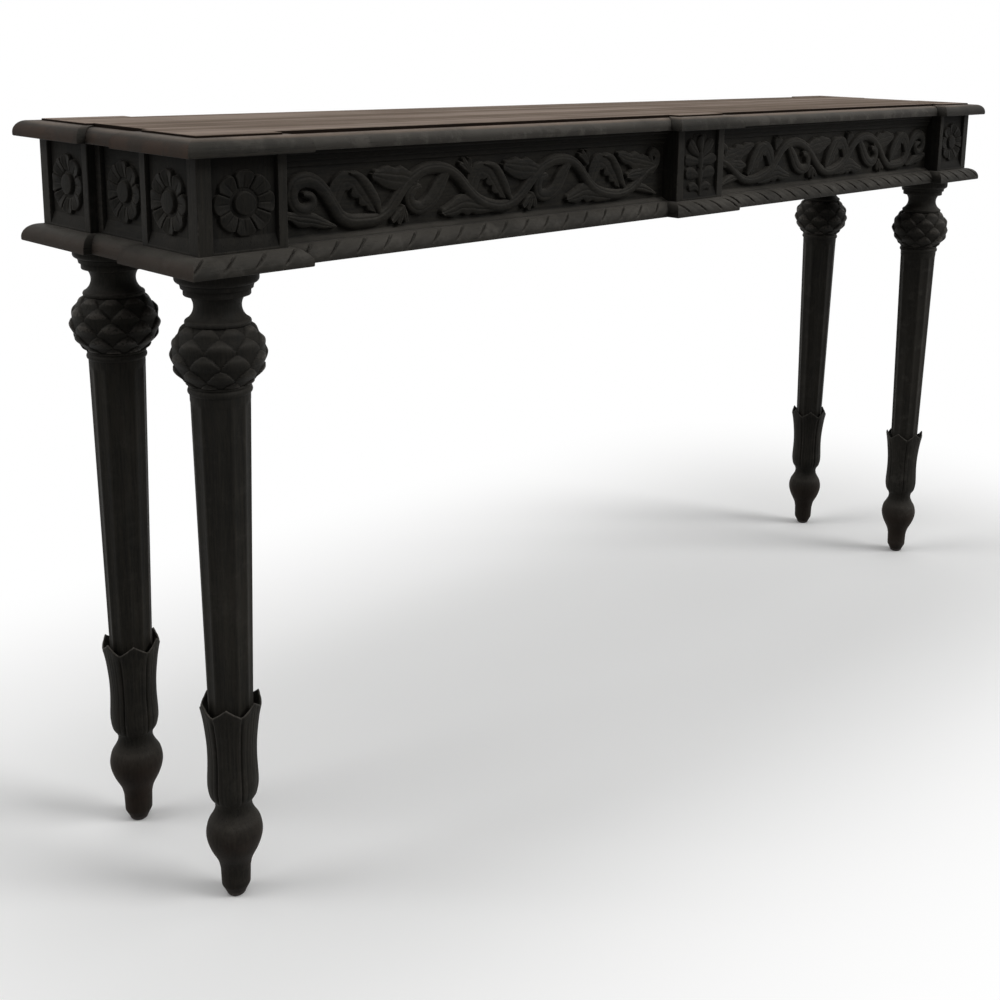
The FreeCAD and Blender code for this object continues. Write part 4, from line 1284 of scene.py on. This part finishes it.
def eased_box(low, high, fields):
    """A closed box with rounded edges; fields maps (axis, sign) to the sunk rectangle on that face."""
    low, high = np.array(low), np.array(high)
    shell = Shell()
    for axis, sign in [(axis, sign) for axis in range(3) for sign in (-1, 1)]:
        u, v = [a for a in range(3) if a != axis]
        field = fields.get((axis, sign))
        marks = [[], []]
        if field:
            marks = [[(field[0][i], 1), (field[1][i], -1)] for i in range(2)]
            marks[1].append((field[0][1] + field_foot, 1))
        across, up = [stations(low[a], high[a], m) for a, m in zip((u, v), marks)]
        grid = np.empty((len(across), len(up), 3))
        grid[..., u], grid[..., v] = across[:, None], up[None, :]
        grid[..., axis] = high[axis] if sign > 0 else low[axis]
        core = np.clip(grid, low + edge_ease, high - edge_ease)
        push = grid - core
        grid = core + push / np.maximum(np.linalg.norm(push, axis=-1, keepdims=True), 1e-9) * edge_ease
        if field:
            grid[..., axis] -= sign * sunk_depth * sunk_share(field, across, up)
        shell.skin(shell.add(grid))
    return shell


print("fields sunk by", round(sunk_depth / mm, 1), "mm")

# %% Painted shade and dirt in the fields
field_margin = 2 * mm
border_shade, border_reach = 0.30, 7 * mm


def field_shade_and_dirt(fields):
    """Painted shade and some dirt in the sunk fields of a box, darkest along their borders."""
    def share(places):
        dirt = np.zeros(len(places))
        for (axis, sign), (low, high) in fields.items():
            flat = np.delete(places, axis, axis=1)
            inside = np.minimum(flat - low, high - flat).min(1)
            on_face = np.where(sign * places[:, axis] > 0, soft_step(inside, 0.0, field_bevel), 0.0)
            even = front_field_dirt_and_shade if axis == 1 else end_field_dirt_and_shade
            dirt = np.maximum(dirt, on_face * (even + border_shade * np.exp(-(inside / border_reach) ** 2)))
        return dirt
    return share


field_low, field_high = rope_top + field_margin, frame_top - field_margin
print("sunk fields", round((field_high - field_low) / mm), "mm high")

# %% Build blocks and panels
outer_stile, inner_stile = 17.5 * mm, 11.5 * mm


def sunk_field(a, b):
    """The corners of a field from one stile to the other, whichever comes first."""
    return (min(a, b), field_low), (max(a, b), field_high)


def build_box(name, node, low, high, fields, finish):
    piece = place_piece(name, eased_box(low, high, fields), node, finish)
    spread(piece, "grime_and_shade", field_shade_and_dirt(fields))


def build_corner_block(row_name, side_name):
    row, side = rows[row_name], sides[side_name]
    place = row_name + "_" + side_name
    near, far = outer_stile, block_width - inner_stile
    fields = {(0, side): sunk_field(row * (half_depth - near), row * (half_depth - far))}
    if row < 0:
        fields[(1, -1)] = sunk_field(side * (half_length - near), side * (half_length - far))
    node = "corner_block_" + place
    build_box("sunk_block_" + place, node, *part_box(node), fields, wood_upright)


def build_end_panel(side_name):
    low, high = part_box("end_panel_" + side_name)
    reach = half_depth - block_width
    fields = {(0, sides[side_name]): sunk_field(inner_stile - reach, reach - inner_stile)}
    build_box("sunk_end_panel_" + side_name, "end_panel_" + side_name,
              (low.x, -reach, low.z), (high.x, reach, high.z), fields, wood_deep)


for side_name in sides:
    for row_name in rows:
        build_corner_block(row_name, side_name)
    build_end_panel(side_name)
half_field = centre_half - (outer_stile + inner_stile) / 2
centre_field = {(1, -1): sunk_field(-half_field, half_field)}
build_box("sunk_block_centre", "centre_block", *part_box("centre_block"), centre_field, wood_upright)

# %% [markdown]
# ## Boards of the top
# Three boards make the raised field of the top, stepped in plan like the moulding round them. Each board is
# its own outline, cut from the stepped plan and drawn in a little at the upper edge, so that the joints show
# as fine lines and the rim of the field catches the light.

# %% Build the three boards
board_ease = 0.9 * mm
board_side = 3 * mm
field_inset = 3 * mm
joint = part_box("top_board_middle")[1].y


def clipped(outline, level, sign):
    """The part of a plan outline on one side of a line along the table."""
    kept = []
    for here, there in zip(outline, np.roll(outline, -1, 0)):
        if sign * (here[1] - level) >= 0:
            kept.append(here)
        if (here[1] - level) * (there[1] - level) < 0:
            kept.append(here + (there - here) * (level - here[1]) / (there[1] - here[1]))
    return np.array(kept)


def drawn_in(outline, distance):
    """An outline with every side moved inwards by a distance."""
    along, out, length, mitre = plan_lines(outline)
    return outline - mitre * distance


def build_board(place, near, far):
    outline = clipped(clipped(drawn_in(wall, field_inset), near, 1), far, -1)
    arc = np.linspace(0, math.pi / 2, 5)
    ease = [(board_ease * (1 - math.cos(t)), table_top - board_ease * (1 - math.sin(t))) for t in arc]
    steps = [(0.0, frame_top), (0.0, table_top - board_side)] + ease + [(board_ease * 3, table_top)]
    shell = Shell()
    shell.tube(np.array([np.column_stack([drawn_in(outline, inset), np.full(len(outline), level)])
                         for inset, level in steps]))
    place_piece("faded_board_" + place, shell, "top_board_" + place, top_wood)


build_board("front", -half_depth, -joint)
build_board("middle", -joint, joint)
build_board("back", joint, half_depth)

# %% [markdown]
# ## Hidden pieces
# The rails, bearers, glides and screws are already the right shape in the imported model, so they stay and
# only get their finishes.

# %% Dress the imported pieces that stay
kept_finishes = {"cross_bearer": inner_wood, "front_bearer": inner_wood, "back_rail": inner_wood,
                 "glide": glide_steel, "top_screws": screw_steel}
for node_name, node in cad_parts.items():
    for start, finish in kept_finishes.items():
        if node_name.startswith(start):
            node.data.materials.clear()
            node.data.materials.append(finish)
            print(node_name, "keeps its shape, finish", finish.name)

# %% [markdown]
# ## Floor and light
# The table stands on a pale floor in soft studio light. Three very wide lamps and an even sky light it: one
# overhead, one from the right of the front and one from behind the left end. The last two fall slantwise on
# the two faces that the picture shows, which is what brings out shallow carving. Away from the table the
# floor turns plain white, but only where the camera sees it, so no light comes back from there.

# %% Stage
floor_reach = 30.0
floor_pale = (0.97, 0.97, 0.965, 1)
floor_seen_by_light = (0.10, 0.10, 0.099, 1)
black, plain_white = (0, 0, 0, 1), (1, 1, 1, 1)
white_from, white_to = 0.06, 0.75


def seen_directly(tree):
    """1 for light paths that show the background: straight, mirrored or through glass."""
    straight_on, mirrored, through = [Signal(tree).node("LightPath", output=i) for i in (0, 3, 6)]
    return (straight_on + mirrored + through).between(0.0, 1.0)


floor_shell = Shell()
spots = np.linspace(-floor_reach, floor_reach, 7)
floor_x, floor_y = np.meshgrid(spots, spots)
floor_shell.skin(floor_shell.add(np.stack([floor_x, floor_y, np.zeros_like(floor_x)], -1)))
floor_mesh = floor_shell.raw_mesh("pale_floor")
floor = bpy.data.objects.new("pale_floor", floor_mesh)
bpy.context.collection.objects.link(floor)
floor_finish, floor_shader, floor_place = begin_finish("pale_floor")
shown = seen_directly(floor_finish.node_tree)
beyond = floor_place.vector("ABSOLUTE").vector("SUBTRACT", (half_length, half_depth, 0.0))
apart = beyond.vector("MAXIMUM").vector("LENGTH", output=1)
white = apart.between(white_from, white_to) * shown
feed(floor_shader, {"Roughness": 0.9, "Specular IOR Level": 0.0, "Emission Strength": 1.0},
     {"Base Color": white.blend(shown.blend(floor_seen_by_light, floor_pale), black),
      "Emission Color": white.blend(black, plain_white)})
floor_mesh.materials.append(floor_finish)

# %% Sky and lamps
sky_strength = 0.12
lamps = (("overhead", (0.0, -0.05, 1.0), 1.26, 70), ("right", (0.45, -0.70, 0.55), 1.25, 24),
         ("left", (-0.70, 0.45, 0.55), 0.72, 30))
world = bpy.data.worlds.new("studio")
bpy.context.scene.world = world
world.use_nodes = True
sky = world.node_tree.nodes["Background"]
strength = seen_directly(world.node_tree) * (1 - sky_strength) + sky_strength
feed(sky, {"Color": plain_white}, {"Strength": strength})
for name, towards, energy, width in lamps:
    light = bpy.data.lights.new(name, "SUN")
    light.energy, light.angle = energy, math.radians(width)
    lamp = bpy.data.objects.new(name, light)
    lamp.rotation_euler = Vector(towards).to_track_quat("Z", "Y").to_euler()
    bpy.context.collection.objects.link(lamp)
    print("lamp", name, "strength", energy, "width", width, "degrees")

# %% [markdown]
# ## Camera
# The camera stands a little above the table top, off its left front corner. Its lens is shifted, so that the
# legs stay nearly upright although it looks downwards. Three angles give its directions: yaw round the
# upright, pitch up or down and a small roll.

# %% Set up the camera
camera_place = (-1.5938, -1.3646, 1.0176)
yaw, pitch, roll = 0.8234, -0.2059, 0.0208
focal_share = 1.3316
lens_shift = (-0.0588, -0.1816)
forward = np.array([math.sin(yaw) * math.cos(pitch), math.cos(yaw) * math.cos(pitch), math.sin(pitch)])
level_right = np.array([math.cos(yaw), -math.sin(yaw), 0])
level_up = np.cross(level_right, forward)
right = level_right * math.cos(roll) + level_up * math.sin(roll)
upright = -level_right * math.sin(roll) + level_up * math.cos(roll)
view = bpy.data.cameras.new("view")
view.sensor_fit = "HORIZONTAL"
view.lens = focal_share * view.sensor_width
view.shift_x, view.shift_y = lens_shift
camera = bpy.data.objects.new("camera", view)
turned = np.column_stack([right, upright, -forward])
camera.matrix_world = Matrix.Translation(camera_place) @ Matrix(turned.tolist()).to_4x4()
bpy.context.collection.objects.link(camera)
bpy.context.scene.camera = camera
bpy.context.scene.view_settings.view_transform = "Standard"
print("camera", [round(v, 2) for v in camera.location], "lens", round(view.lens, 1), "mm")
